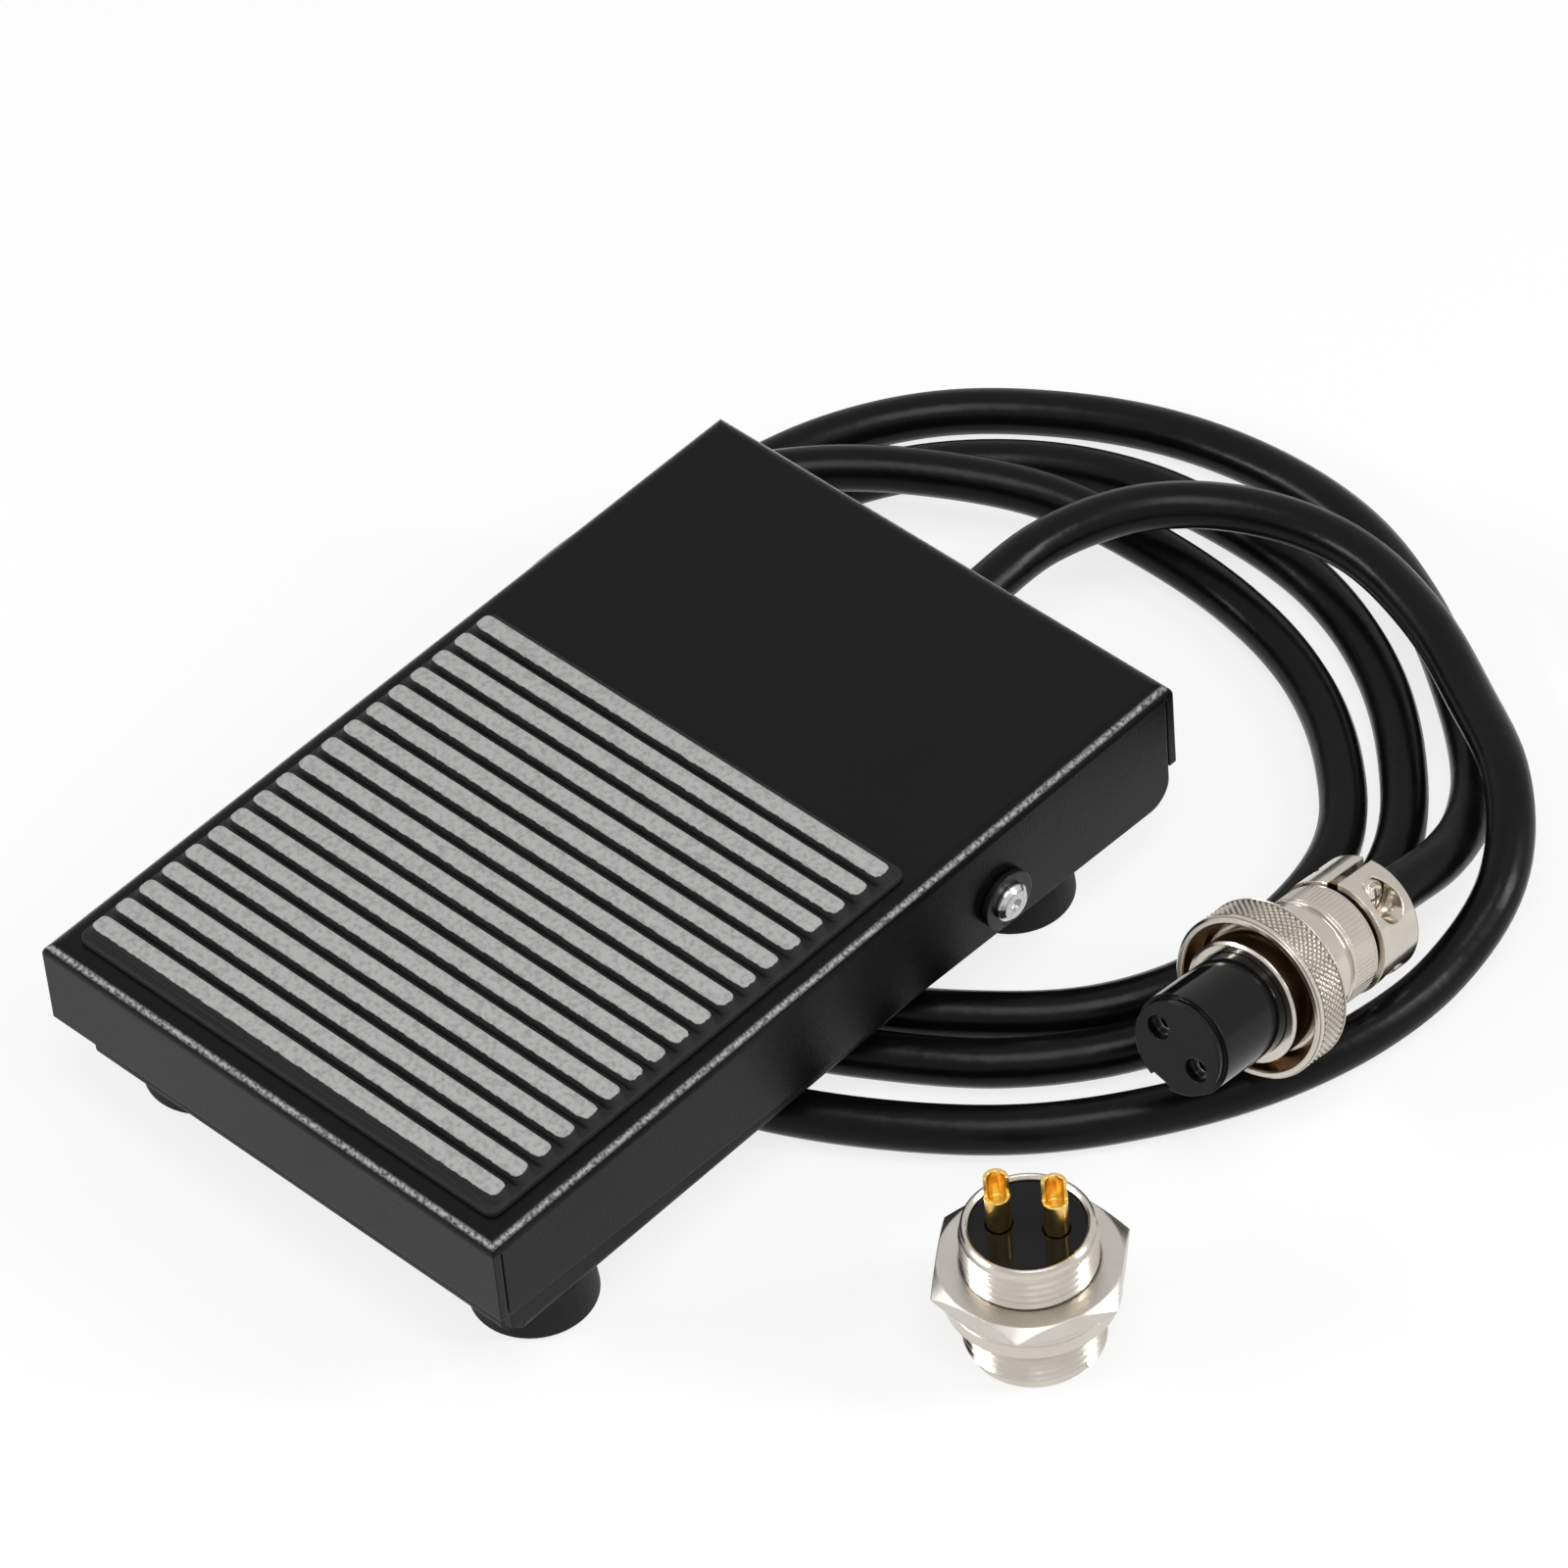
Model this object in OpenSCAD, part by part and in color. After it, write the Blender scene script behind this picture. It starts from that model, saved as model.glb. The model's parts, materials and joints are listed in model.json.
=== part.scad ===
// Foot switch: a sheet-steel pedal on a sheet-steel tray, a snap-action switch
// between them, a cable with a round two-pole plug, and the loose panel socket.
// Millimetres. X runs left to right, Y front to rear, Z up. The origin is the
// centre of the tray's underside, and the floor lies one foot height below it.

/* [Pedal cover] */
// Width of the pedal cover over its side flanges
cover_w = 67; // [60:0.5:82]
// Height of the cover's top face above the tray's underside
cover_top = 18; // [17.5:0.1:22]
// Thickness of the sheet steel
sheet = 1; // [0.8:0.05:1.2]
// Outer radius of the sheet's bends
bend_r = 1.7; // [1.4:0.1:2.2]
// Depth of the front flange below the top face
front_skirt = 11.4; // [10:0.1:13]
// Depth of the side flanges at their rear end
rear_skirt = 16.8; // [12:0.1:17]
// How far the cover reaches past the tray at the front
front_overhang = 2.5; // [2.5:0.1:4]
// How far the cover reaches past the tray at the rear
rear_overhang = 7.5; // [5:0.1:10]

/* [Base tray] */
// Length of the tray, front to rear
tray_l = 95; // [90:1:125]
// Gap between a cover flange and the tray wall beside it
side_gap = 0.4; // [0.3:0.05:0.6]
// Height of the tray's side walls
wall_h = 12; // [11:0.1:13]
// Height of the tray's front wall
front_wall_h = 11; // [6:0.1:12]
// Clearance of the cover over the rear wall that stops it at rest
rest_gap = 0.3; // [0.2:0.05:0.5]
// Side-to-side distance of the mounting holes
mount_x = 24; // [16:1:30]
// Front-to-rear distance of the mounting holes
mount_y = 68; // [64:1:76]
// Diameter of the mounting holes
mount_d = 4.5; // [3.5:0.1:5.5]

/* [Feet] */
// Diameter of a rubber foot at the floor
foot_d = 14; // [12:0.1:16]
// Height of a rubber foot
foot_h = 6.2; // [6.2:0.1:8]
// Distance of a foot's centre from the tray's side
foot_inset_x = 7.5; // [7.5:0.1:9]
// Distance of a foot's centre from the tray's end
foot_inset_y = 10; // [9:0.1:12]

/* [Hinge] */
// Diameter of the hinge axle
axle_d = 4.5; // [3.5:0.1:5]
// Height of the axle above the tray's underside
axle_z = 7.5; // [7:0.1:8.5]
// Distance of the axle from the tray's rear end
axle_inset = 20.5; // [19:0.1:24]
// How far the axle stands out past the cover on each side
axle_out = 2; // [1.5:0.1:4]
// Running clearance of the axle in the cover, on the diameter
axle_play = 0.1; // [0.04:0.02:0.18]

/* [Rubber pad] */
// Number of ribs across the pad
rib_count = 18; // [12:1:24]
// Width of a rib's top
rib_w = 2.4; // [1.8:0.1:2.6]
// Thickness of the pad between its ribs
pad_t = 0.7; // [0.5:0.1:1.2]
// Height of the ribs above the pad's base
rib_h = 1.3; // [0.8:0.1:2]
// Bare strip of cover behind the pad
bare_rear = 39.3; // [34:0.1:44]

/* [Return springs] */
// Outside diameter of a return spring
spring_d = 10; // [8:0.1:11]
// Diameter of the spring wire
spring_wire = 1.2; // [0.8:0.05:1.5]
// Turns in a spring
spring_turns = 5; // [4:0.5:7]

/* [Snap-action switch] */
// Length of the switch case
micro_l = 19.8; // [19:0.1:21]
// Width of the switch case
micro_w = 6.4; // [6:0.1:7]
// Height of the switch case
micro_h = 10.2; // [9.5:0.1:10.4]
// Height of the case above the tray's underside
micro_z = 2.5; // [2.4:0.1:3]
// Angle of the lever at rest, raised at its free end
lever_rise = 6; // [4:0.5:7]

/* [Cable] */
// Diameter of the cable's sheath
cord_d = 5.4; // [4.8:0.1:5.6]
// Height of the cable's axis where it leaves the tray
cord_z = 6.5; // [6.3:0.1:6.6]

/* [Round plug] */
// Outside diameter of the coupling ring
ring_d = 19; // [18:0.1:20]
// Length of the coupling ring
ring_l = 5; // [4.5:0.1:6]
// Diameter of the insulating insert
insert_d = 11.8; // [10:0.1:12]
// Reach of the insert ahead of the ring's middle
insert_reach = 14.9; // [12:0.1:18]
// Diameter of the rear shell
shell_d = 13.2; // [13:0.1:14.5]

/* [Panel socket] */
// Thread diameter of the socket's mating end
thread_d = 15.2; // [15:0.1:16.4]
// Diameter of the socket's flange and of its washer
flange_d = 18.8; // [18:0.1:20]
// Width across flats of the hexagon nut
nut_af = 19.4; // [18:0.1:20]

/* [Hidden] */

$fn = 48;
eps = 0.01;
through = 200;        // longer than anything that it cuts
seat_gap = 0.3;       // air between pieces that move against each other
fit_gap = 0.05;       // radial clearance of a shaft or screw in its hole

// Plan outline
tray_w = cover_w - 2 * (sheet + side_gap);
tray_front = -tray_l / 2;
tray_rear = tray_l / 2;
cover_front = tray_front - front_overhang;
cover_rear = tray_rear + rear_overhang;
cover_l = cover_rear - cover_front;
cover_under = cover_top - sheet;
axle_y = tray_rear - axle_inset;

// Corners: the tray's are open, the cover's are closed up to a fine seam
relief = 2.2;         // depth of the relief notch at a corner of the tray
seam = 0.25;          // gap between a side flange and the end flange beside it

// Return springs and their seats
spring_x = 20;
spring_y = axle_y - 51;
cup_t = 1;            // thickness of a cup's flange under the cover
spigot_h = 3;         // height of the spigot that centres a spring

// Snap-action switch, placed from the axle so that the leverage stays
micro_y = axle_y - 27;
micro_top = micro_z + micro_h;
lever_hinge_y = micro_y + 8.4;
lever_hinge_z = micro_top + 0.4;
lever_t = 0.4;
lever_w = 4;
lever_reach = 21.4;   // from the hinge to the free end
plunger_y = micro_y + 3.1;
strike_y = micro_y - 12;
strike_lever_z = lever_hinge_z + (lever_hinge_y - strike_y) * tan(lever_rise);
strike_tip_z = strike_lever_z + lever_t / 2 / cos(lever_rise) + seat_gap;
micro_hole_y = 9.5;   // distance between the case's two screw holes
micro_hole_z = micro_z + 2.9;
micro_screw_d = 2.3;
bracket_t = 1.2;
bracket_reach = 13;
micro_lid_t = 1.2;
ear_t = 0.7;          // ears that carry the lever's pin
ear_w = 1.8;
lever_pin_d = 0.9;
insulation_t = 0.3;
tag_t = 0.5;
tag_z = sheet + insulation_t + 0.3;

// Screws, metric coarse sizes
m3_d = 3;
m3_head_d = 5.5;
m3_head_h = 1.9;
m4_d = 4;
m4_head_d = 7;
m4_head_h = 2.6;

// Feet
foot_x = tray_w / 2 - foot_inset_x;
foot_y = tray_l / 2 - foot_inset_y;
foot_head_room = 3.6; // depth of the counterbore that hides the screw's head

// Striker, spring cups and hinge
striker_neck_d = 3;
cup_rivet_d = 3;
clip_t = 0.7;
clip_x = cover_w / 2 + seat_gap;
groove_d = 3.6;

// Cable entry and clamp
cord_r = cord_d / 2;
grommet_neck_d = cord_d + 2.4;
clamp_gap = 0.3;      // between the clamp's two halves
clamp_bar_h = 2.2;
clamp_y = tray_rear - 8.8;
clamp_l = 6;
clamp_w = 17;
clamp_screw_x = 6;

// Cable route, axis points chosen by hand
cord_route = [
    [0, 35, 6.5], [0, 46, 6.5], [0, 59, 6.5], [0.5, 71, 6.8], [5, 82, 6.4],
    [14, 89.5, 5.8], [26, 92.5, 5.2], [38.5, 90, 4.6], [50, 84.5, 3.8],
    [61.8, 77, 3.6], [68.9, 67.6, 0.6], [70.6, 56, -2.8], [69.4, 43.5, -3.5],
    [65.4, 31.5, -3.5], [58.6, 20, -3.5], [50.5, 10.5, -3.5], [40, 2.4, -3.5],
    [28, -4.2, -3.5], [15, -8.7, -3.5], [1, -10, -3.5], [-12.5, -7.8, -3.5],
    [-25, -1.5, -3.5], [-35.7, 7.5, -3.2], [-41.5, 18.7, -1], [-41.5, 31.5, 2],
    [-41, 44, 2.3], [-38, 56.5, 2.3], [-30, 67, 2.3],
    [-19, 75.5, 1.6], [-8, 81.5, 0], [5, 84.5, -2.5], [18, 84, -3.5],
    [30.5, 80, -3.5], [41, 73, -3.5], [49, 63.5, -3.5], [51.7, 51.5, -3.5],
    [50.4, 39, -3.5], [44.8, 28, -3.5], [35, 19, -3.5], [23.6, 11.8, -3.5],
    [11.3, 6.5, -3.5], [-1.5, 4.5, -3.5], [-14, 7.5, -3.5], [-24.7, 15, -3.5],
    [-31.2, 26.5, -3.5], [-35, 39, -3.5], [-34.8, 52, -3.5], [-33, 65, -3.5],
    [-27, 77, -3.5], [-17, 86.5, -3.5], [-5, 92, -3.5], [8.5, 93.5, -3.5],
    [22, 92, -3.5], [35, 86.5, -3.5], [46, 77.8, -3.5], [54.5, 67, -3.5],
    [57.9, 54, -3.5], [57.2, 40.5, -3.5], [52, 27.5, -3.5], [43, 16.6, -3.5],
    [31.2, 8.4, -3.5], [19, 2.3, -3.5], [6, -1.5, -3.5], [-7.5, -1.5, -3.5],
    [-20, 3.5, -3.5], [-30, 12, -3.5], [-36.5, 23.3, -3.5], [-40.6, 36, -3.5],
    [-41.2, 49, -3.5], [-41, 62, -3.5],
    [-37.5, 75, -3.5], [-30.5, 86, -3.5], [-20, 94.5, -3.5], [-7.5, 100.5, -3.5],
    [6, 103, -3.5], [19.5, 102, -3.5], [32.5, 97, -3.5], [44, 89.5, -3.5],
    [53, 81.8, -3.1], [59, 73.8, -1.1], [62.1, 65.8, 1.3], [62.9, 57.6, 3.44],
    [63.38, 51.73, 4.86], [64, 43, 6.97]];

// The two cores inside the tray, led under the axle to the switch's tags
wire_r = 0.9;
wire_z = tag_z + tag_t + wire_r;
wire_routes = [
    [[1.2, clamp_y - 4.2, cord_z - 0.2], [1, clamp_y - 6.2, cord_z - 1.3],
        [0.6, axle_y + 2.5, wire_z + 0.4], [0, axle_y - 0.5, wire_z],
        [-2, axle_y - 6.5, wire_z], [-5, micro_y + 14, wire_z], [-6.4, micro_y + 8, wire_z]],
    [[-1.2, clamp_y - 4.2, cord_z - 0.2], [-1.6, clamp_y - 6.2, cord_z - 1.3],
        [-2.4, axle_y + 2.5, wire_z + 0.4], [-3.6, axle_y - 0.5, wire_z],
        [-6.4, axle_y - 6.5, wire_z], [-9, micro_y + 14, wire_z], [-10, micro_y + 8, wire_z],
        [-9.6, micro_y + 4, wire_z], [-7.6, micro_y + 0.8, wire_z]]];

// Plug: its axis starts at the middle of the coupling ring
plug_at = [64.7, 33.3, 9.3];
plug_turn = -4.1;
plug_tilt = 13.5;     // rise of the plug's front
ring_front = ring_l / 2;
collar_d = 14.1;      // front shell where it shows inside the ring
collar_front = ring_front + 1.2;
ring_wall = 1;
mouth_d = thread_d + 0.4;
insert_back = -2;
bush_d = shell_d - 1.8;
bush_bore_d = bush_d - 1.7;
bush_end = -11;       // rear end of the front shell, inside the rear shell
shell_front = -ring_front - seat_gap;
shell_step = -7;      // where the rear shell's fluted part begins
shell_end = -12.6;
saddle_end = -19;
saddle_d = 13.6;
saddle_root = 0.3;    // how far the saddle reaches into the shell's end
throat_d = cord_d + 2 * fit_gap;
clamp_turn = -82.4;   // turns the saddle so that its strap faces right
saddle_split = 0.5;   // half the gap between the saddle and its strap
clamp_seat = 2.2;     // height of the strap's screw seats above the split
clamp_screw_y = throat_d / 2 + 1.9;
pole_pitch = 6;
pole_turn = 62.4;
key_turn = -17.3;
pole_d = 2.8;

// Panel socket: stands on the floor with its mating end down
socket_at = [69.2, -8.4, -foot_h];
pole_angle = 34;
socket_flange_z = 7.2;
socket_flange_h = 2.1;
washer_t = 0.9;
nut_z = socket_flange_z + socket_flange_h + washer_t;
nut_h = 2.4;
nut_turn = 5;
socket_h = 18;
rear_thread_d = thread_d - 0.6;
shell_wall = 1;
socket_face_z = 7;    // floor of the mating cup
cup_top_z = 24.5;

// ---------------------------------------------------------------- shared shapes

// Sheet bent down along both long sides: outline seen from the front
module bent_sheet_outline(w, h) {
    difference() {
        round_top_box(w, h, bend_r);
        translate([0, -eps]) round_top_box(w - 2 * sheet, h - sheet + eps, bend_r - sheet);
    }
}

module round_top_box(w, h, r) {
    translate([-w / 2, 0]) square([w, h - r]);
    translate([-w / 2 + r, 0]) square([w - 2 * r, h]);
    for (side = [-1, 1]) translate([side * (w / 2 - r), h - r]) circle(r);
}

// End flange with its bend: outline in the Y-Z plane, bend at the outline's top
module end_flange_outline(h) {
    translate([0, -h]) square([sheet, h - bend_r]);
    intersection() {
        translate([bend_r, -bend_r]) difference() {
            circle(bend_r);
            circle(bend_r - sheet);
        }
        translate([0, -bend_r]) square(bend_r);
    }
    translate([bend_r - eps, -sheet]) square([bend_r, sheet]);
}

// Turns an outline drawn in X-Y into a bar along X that stands in the Y-Z plane
module along_x(length) {
    rotate([90, 0, 90]) linear_extrude(length, center = true) children();
}

// Turns an outline drawn in X-Y into a bar along Y that stands in the X-Z plane
module along_y(from, to) {
    translate([0, to, 0]) rotate([90, 0, 0]) linear_extrude(to - from) children();
}

module mirror_copy(axis) {
    children();
    mirror(axis) children();
}

module four_corners(x, y) {
    for (sx = [-1, 1], sy = [-1, 1]) translate([sx * x, sy * y, 0]) children();
}

// Pan-head screw, its axis on Z: the head stands up from z = 0, the shank down
module pan_screw(d, length, head_d, head_h) {
    slot_w = d / 5;
    difference() {
        rotate_extrude() {
            translate([0, -length]) square([d / 2, length + eps]);
            square([head_d / 2, head_h * 0.55]);
            intersection() {
                translate([0, head_h - head_d]) circle(head_d);
                square([head_d / 2 - head_h * 0.3, head_h]);
            }
        }
        for (turn = [0, 90]) rotate(turn)
            translate([-head_d * 0.3, -slot_w / 2, head_h * 0.5]) cube([head_d * 0.6, slot_w, head_h]);
    }
}

module hex_nut(af, h, bore) {
    difference() {
        intersection() {
            cylinder(d = af / cos(30), h = h, $fn = 6);
            rotate_extrude() polygon([[0, 0], [af / 2, 0], [af * 0.58, af * 0.06],
                [af * 0.58, h - af * 0.06], [af / 2, h], [0, h]]);
        }
        translate([0, 0, -eps]) cylinder(d = bore, h = h + 2 * eps);
    }
}

module ring_tube(outer_d, inner_d, h) {
    difference() {
        cylinder(d = outer_d, h = h);
        translate([0, 0, -eps]) cylinder(d = inner_d, h = h + 2 * eps);
    }
}

// Round tube swept along a list of points, as one polyhedron
function unit(v) = v / norm(v);
function tangent(path, i) =
    i == 0 ? unit(path[1] - path[0])
    : i == len(path) - 1 ? unit(path[i] - path[i - 1])
    : unit(unit(path[i + 1] - path[i]) + unit(path[i] - path[i - 1]));
function side_of(t) = unit(cross([0, 0, 1], t));
function ring_points(centre, t, r, sides) =
    let (s = side_of(t), u = cross(t, s))
    [for (k = [0 : sides - 1]) centre + r * (cos(360 * k / sides) * s + sin(360 * k / sides) * u)];

module tube(path, r, sides) {
    rings = len(path);
    points = [for (i = [0 : rings - 1]) each ring_points(path[i], tangent(path, i), r, sides)];
    walls = [for (i = [0 : rings - 2], k = [0 : sides - 1])
        let (a = i * sides + k, b = i * sides + (k + 1) % sides)
        each [[a, b, b + sides], [a, b + sides, a + sides]]];
    start = [for (k = [sides - 1 : -1 : 0]) k];
    end = [for (k = [0 : sides - 1]) (rings - 1) * sides + k];
    polyhedron(points, concat(walls, [start, end]), convexity = 10);
}

// ---------------------------------------------------------------- tray and feet

module base_tray() {
    color("#26282b") difference() {
        union() {
            tray_shell();
            spring_spigots();
        }
        tray_holes();
    }
}

module tray_shell() {
    end_w = tray_w - 2 * bend_r;
    rear_wall_h = cover_under - rest_gap;
    difference() {
        along_y(tray_front, tray_rear)
            mirror([0, 1]) translate([0, -wall_h]) bent_sheet_outline(tray_w, wall_h);
        for (end = [-1, 1]) translate([0, end * tray_l / 2, 0]) {
            cube([tray_w - 2 * sheet, 2 * bend_r, 3 * wall_h], center = true);
            cube([tray_w + 1, 2 * bend_r, 2 * relief], center = true);
        }
    }
    tray_end_wall(end_w, front_wall_h);
    mirror([0, 1, 0]) tray_end_wall(end_w, rear_wall_h);
}

module tray_end_wall(w, h) {
    translate([0, tray_front, 0]) along_x(w) mirror([0, 1]) end_flange_outline(h);
}

module spring_spigots() {
    mirror_copy([1, 0, 0]) translate([spring_x, spring_y, sheet - eps])
        cylinder(r = spring_d / 2 - spring_wire - seat_gap, h = spigot_h);
}

module tray_holes() {
    down = [0, 0, -1];
    four_corners(mount_x / 2, mount_y / 2) translate(down) cylinder(d = mount_d, h = 3 * sheet);
    four_corners(foot_x, foot_y) translate(down) cylinder(d = m4_d + 4 * fit_gap, h = 3 * sheet);
    bracket_holes() translate(down) cylinder(d = m3_d + 2 * fit_gap, h = 3 * sheet);
    clamp_holes() translate(down) cylinder(d = m3_d + 2 * fit_gap, h = 3 * sheet);
    mirror_copy([1, 0, 0]) translate([spring_x, spring_y, -1]) cylinder(d = 3, h = 9);
    translate([-through / 2, axle_y, axle_z]) rotate([0, 90, 0])
        cylinder(d = axle_d + axle_play, h = through);
    translate([0, tray_rear - 3 * sheet, cord_z]) rotate([-90, 0, 0])
        cylinder(d = grommet_neck_d + 2 * fit_gap, h = 5 * sheet);
}

module rubber_feet() {
    color("#1b1b1c") four_corners(foot_x, foot_y) foot();
}

module foot() {
    difference() {
        rotate_extrude() polygon([[0, -foot_h], [foot_d / 2 - 0.5, -foot_h],
            [foot_d / 2, -foot_h + 0.5], [foot_d / 2 - 0.5, -0.6],
            [foot_d / 2 - 1, 0], [0, 0]]);
        translate([0, 0, -foot_h - 1]) cylinder(d = m4_head_d + 0.8, h = foot_head_room + 1);
        translate([0, 0, -foot_h]) cylinder(d = m4_d + 4 * fit_gap, h = 2 * foot_h);
    }
}

module foot_screws() {
    nut_h = 3.2;
    seat = foot_h - foot_head_room;
    color("silver") four_corners(foot_x, foot_y) translate([0, 0, -seat]) mirror([0, 0, 1])
        pan_screw(m4_d, seat + sheet + nut_h + 0.6, m4_head_d, m4_head_h);
}

module foot_nuts() {
    color("silver") four_corners(foot_x, foot_y) translate([0, 0, sheet])
        hex_nut(7, 3.2, m4_d + 2 * fit_gap);
}

// ---------------------------------------------------------------- pedal

module pedal_cover() {
    color("#2b2d30") difference() {
        cover_outside();
        cover_inside();
        cover_seams();
        cable_notch();
        translate([-through / 2, axle_y, axle_z]) rotate([0, 90, 0])
            cylinder(d = axle_d + axle_play, h = through);
        translate([0, strike_y, 0]) cylinder(d = striker_neck_d + 2 * fit_gap, h = through);
        mirror_copy([1, 0, 0]) translate([spring_x, spring_y, 0])
            cylinder(d = cup_rivet_d + 2 * fit_gap, h = through);
    }
}

// Where the rounded front outline meets the rounded side outline, the corners mitre
module cover_outside() {
    intersection() {
        along_y(cover_front, cover_rear) round_top_box(cover_w, cover_top, bend_r);
        along_x(cover_w + 2) intersection() {
            translate([cover_front + cover_l / 2, 0]) round_top_box(cover_l, cover_top, bend_r);
            union() {
                side_outline();
                translate([cover_rear - bend_r, cord_z - 0.5]) square([bend_r, cover_top]);
            }
        }
    }
}

module cover_inside() {
    inner_r = bend_r - sheet;
    intersection() {
        along_y(cover_front + sheet, cover_rear - sheet)
            translate([0, -1]) round_top_box(cover_w - 2 * sheet, cover_under + 1, inner_r);
        along_x(cover_w) translate([cover_front + cover_l / 2, -1])
            round_top_box(cover_l - 2 * sheet, cover_under + 1, inner_r);
    }
}

module cover_seams() {
    for (end = [-1, 1]) translate([0, cover_front + cover_l / 2 + end * (cover_l - 2 * sheet - seam) / 2, 0])
        cube([cover_w + 2, seam, 2 * (cover_top - bend_r)], center = true);
}

module cable_notch() {
    notch_w = cord_d + 4.6;
    translate([0, cover_rear, cord_z]) rotate([90, 0, 0])
        cylinder(d = notch_w, h = 6 * sheet, center = true);
    translate([0, cover_rear, cord_z - 5]) cube([notch_w, 6 * sheet, 10], center = true);
}

// Side view of the side flanges: their lower edge drops towards a rounded rear corner
module side_outline() {
    corner_r = 3;
    flange_rear = cover_rear - sheet - seam;
    slope = atan((rear_skirt - front_skirt) / cover_l);
    edge = cover_top - front_skirt;
    cy = flange_rear - corner_r;
    cz = edge - (cy - cover_front) * tan(slope) + corner_r / cos(slope);
    translate([cy, cz]) circle(corner_r);
    polygon([[cover_front, cover_top + 1], [cover_front, edge],
        [cy - corner_r * sin(slope), cz - corner_r * cos(slope)],
        [cy, cz], [flange_rear, cz], [flange_rear, cover_top + 1]]);
}

module pedal_pad() {
    side_margin = 2.7;
    front_margin = 2.8;
    base_front = cover_front + front_margin;
    base_rear = cover_rear - bare_rear;
    base_w = cover_w - 2 * side_margin;
    end_gap = 1;
    end_slope = 1.5;
    rib_flare = 0.2;
    first = base_front + end_gap;
    pitch = (base_rear - base_front - 2 * end_gap - rib_w - 2 * rib_flare) / (rib_count - 1);
    top = pad_t + rib_h;
    color("#3a3b3d") translate([0, 0, cover_top]) {
        translate([-base_w / 2, base_front, 0]) cube([base_w, base_rear - base_front, pad_t]);
        intersection() {
            along_x(base_w) for (i = [0 : rib_count - 1]) translate([first + i * pitch, 0])
                polygon([[0, pad_t - eps], [rib_flare, top], [rib_flare + rib_w, top],
                    [2 * rib_flare + rib_w, pad_t - eps]]);
            along_y(base_front, base_rear) polygon([[-base_w / 2, 0], [base_w / 2, 0],
                [base_w / 2, pad_t - eps], [base_w / 2 - end_slope, top],
                [-base_w / 2 + end_slope, top], [-base_w / 2, pad_t - eps]]);
        }
    }
}

module striker_button() {
    dome_r = 2.5;
    color("silver") translate([0, strike_y, 0]) rotate_extrude() {
        translate([0, cover_under - eps]) square([striker_neck_d / 2, sheet + eps]);
        translate([0, strike_tip_z + 0.5]) square([dome_r, cover_under - strike_tip_z - 0.5]);
        translate([0, strike_tip_z]) square([dome_r - 0.5, 0.5 + eps]);
        intersection() {
            translate([dome_r - 0.5, strike_tip_z + 0.5]) circle(0.5);
            translate([0, strike_tip_z]) square([dome_r, 0.5 + eps]);
        }
    }
}

// Cup riveted under the cover, with a spigot that enters the spring's top turn
module spring_cups() {
    spigot_r = spring_d / 2 - spring_wire - seat_gap;
    color("silver") mirror_copy([1, 0, 0]) translate([spring_x, spring_y, 0]) rotate_extrude() {
        translate([0, cover_under - eps]) square([cup_rivet_d / 2, sheet + eps]);
        translate([0, cover_under - cup_t]) square([spring_d / 2 + 1, cup_t]);
        translate([0, cover_under - cup_t - spigot_h]) square([spigot_r, spigot_h + eps]);
    }
}

// ---------------------------------------------------------------- hinge

module axle() {
    half = cover_w / 2 + axle_out;
    chamfer = 0.5;
    dimple_r = 0.7;
    groove_w = clip_t + 2 * fit_gap;
    color("#c9ccd0") translate([0, axle_y, axle_z]) rotate([0, 90, 0]) difference() {
        rotate_extrude() polygon([[0, -half], [axle_d / 2 - chamfer, -half],
            [axle_d / 2, -half + chamfer], [axle_d / 2, half - chamfer],
            [axle_d / 2 - chamfer, half], [0, half]]);
        for (end = [-1, 1]) {
            translate([0, 0, end * (clip_x + clip_t / 2)]) difference() {
                cylinder(d = axle_d + 1, h = groove_w, center = true);
                cylinder(d = groove_d, h = 2 * groove_w, center = true);
            }
            translate([0, 0, end * half]) cylinder(r = dimple_r, h = 0.8, center = true);
        }
    }
}

module axle_clips() {
    clip_d = axle_d + 2.6;
    mouth_w = 2.6;
    color("#202124") mirror_copy([1, 0, 0]) translate([clip_x, axle_y, axle_z])
        rotate([0, 90, 0]) difference() {
            cylinder(d = clip_d, h = clip_t);
            translate([0, 0, -1]) cylinder(d = groove_d + 2 * fit_gap, h = clip_t + 2);
            translate([0, -mouth_w / 2, -1]) cube([clip_d, mouth_w, clip_t + 2]);
        }
}

// ---------------------------------------------------------------- springs

module return_springs() {
    sides = 8;
    steps = 14;           // rings in one turn
    coil_r = (spring_d - spring_wire) / 2;
    low = sheet + spring_wire / 2 + eps;
    high = cover_under - cup_t - seat_gap - spring_wire / 2;
    total = spring_turns * steps;
    closed = steps;       // rings of the flat turn at each end
    rise = (high - low) / (total - 2 * closed);
    lift = spring_wire * 1.1;
    function coil_z(i) =
        i < closed ? low + lift * i / closed
        : i > total - closed ? high - lift * (total - i) / closed
        : low + lift + (high - low - 2 * lift) * (i - closed) / (total - 2 * closed);
    path = [for (i = [0 : total])
        [coil_r * cos(360 * i / steps), coil_r * sin(360 * i / steps), coil_z(i)]];
    color("#d0d3d6") mirror_copy([1, 0, 0]) translate([spring_x, spring_y, 0])
        tube(path, spring_wire / 2, sides);
}

// ---------------------------------------------------------------- snap-action switch

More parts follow.
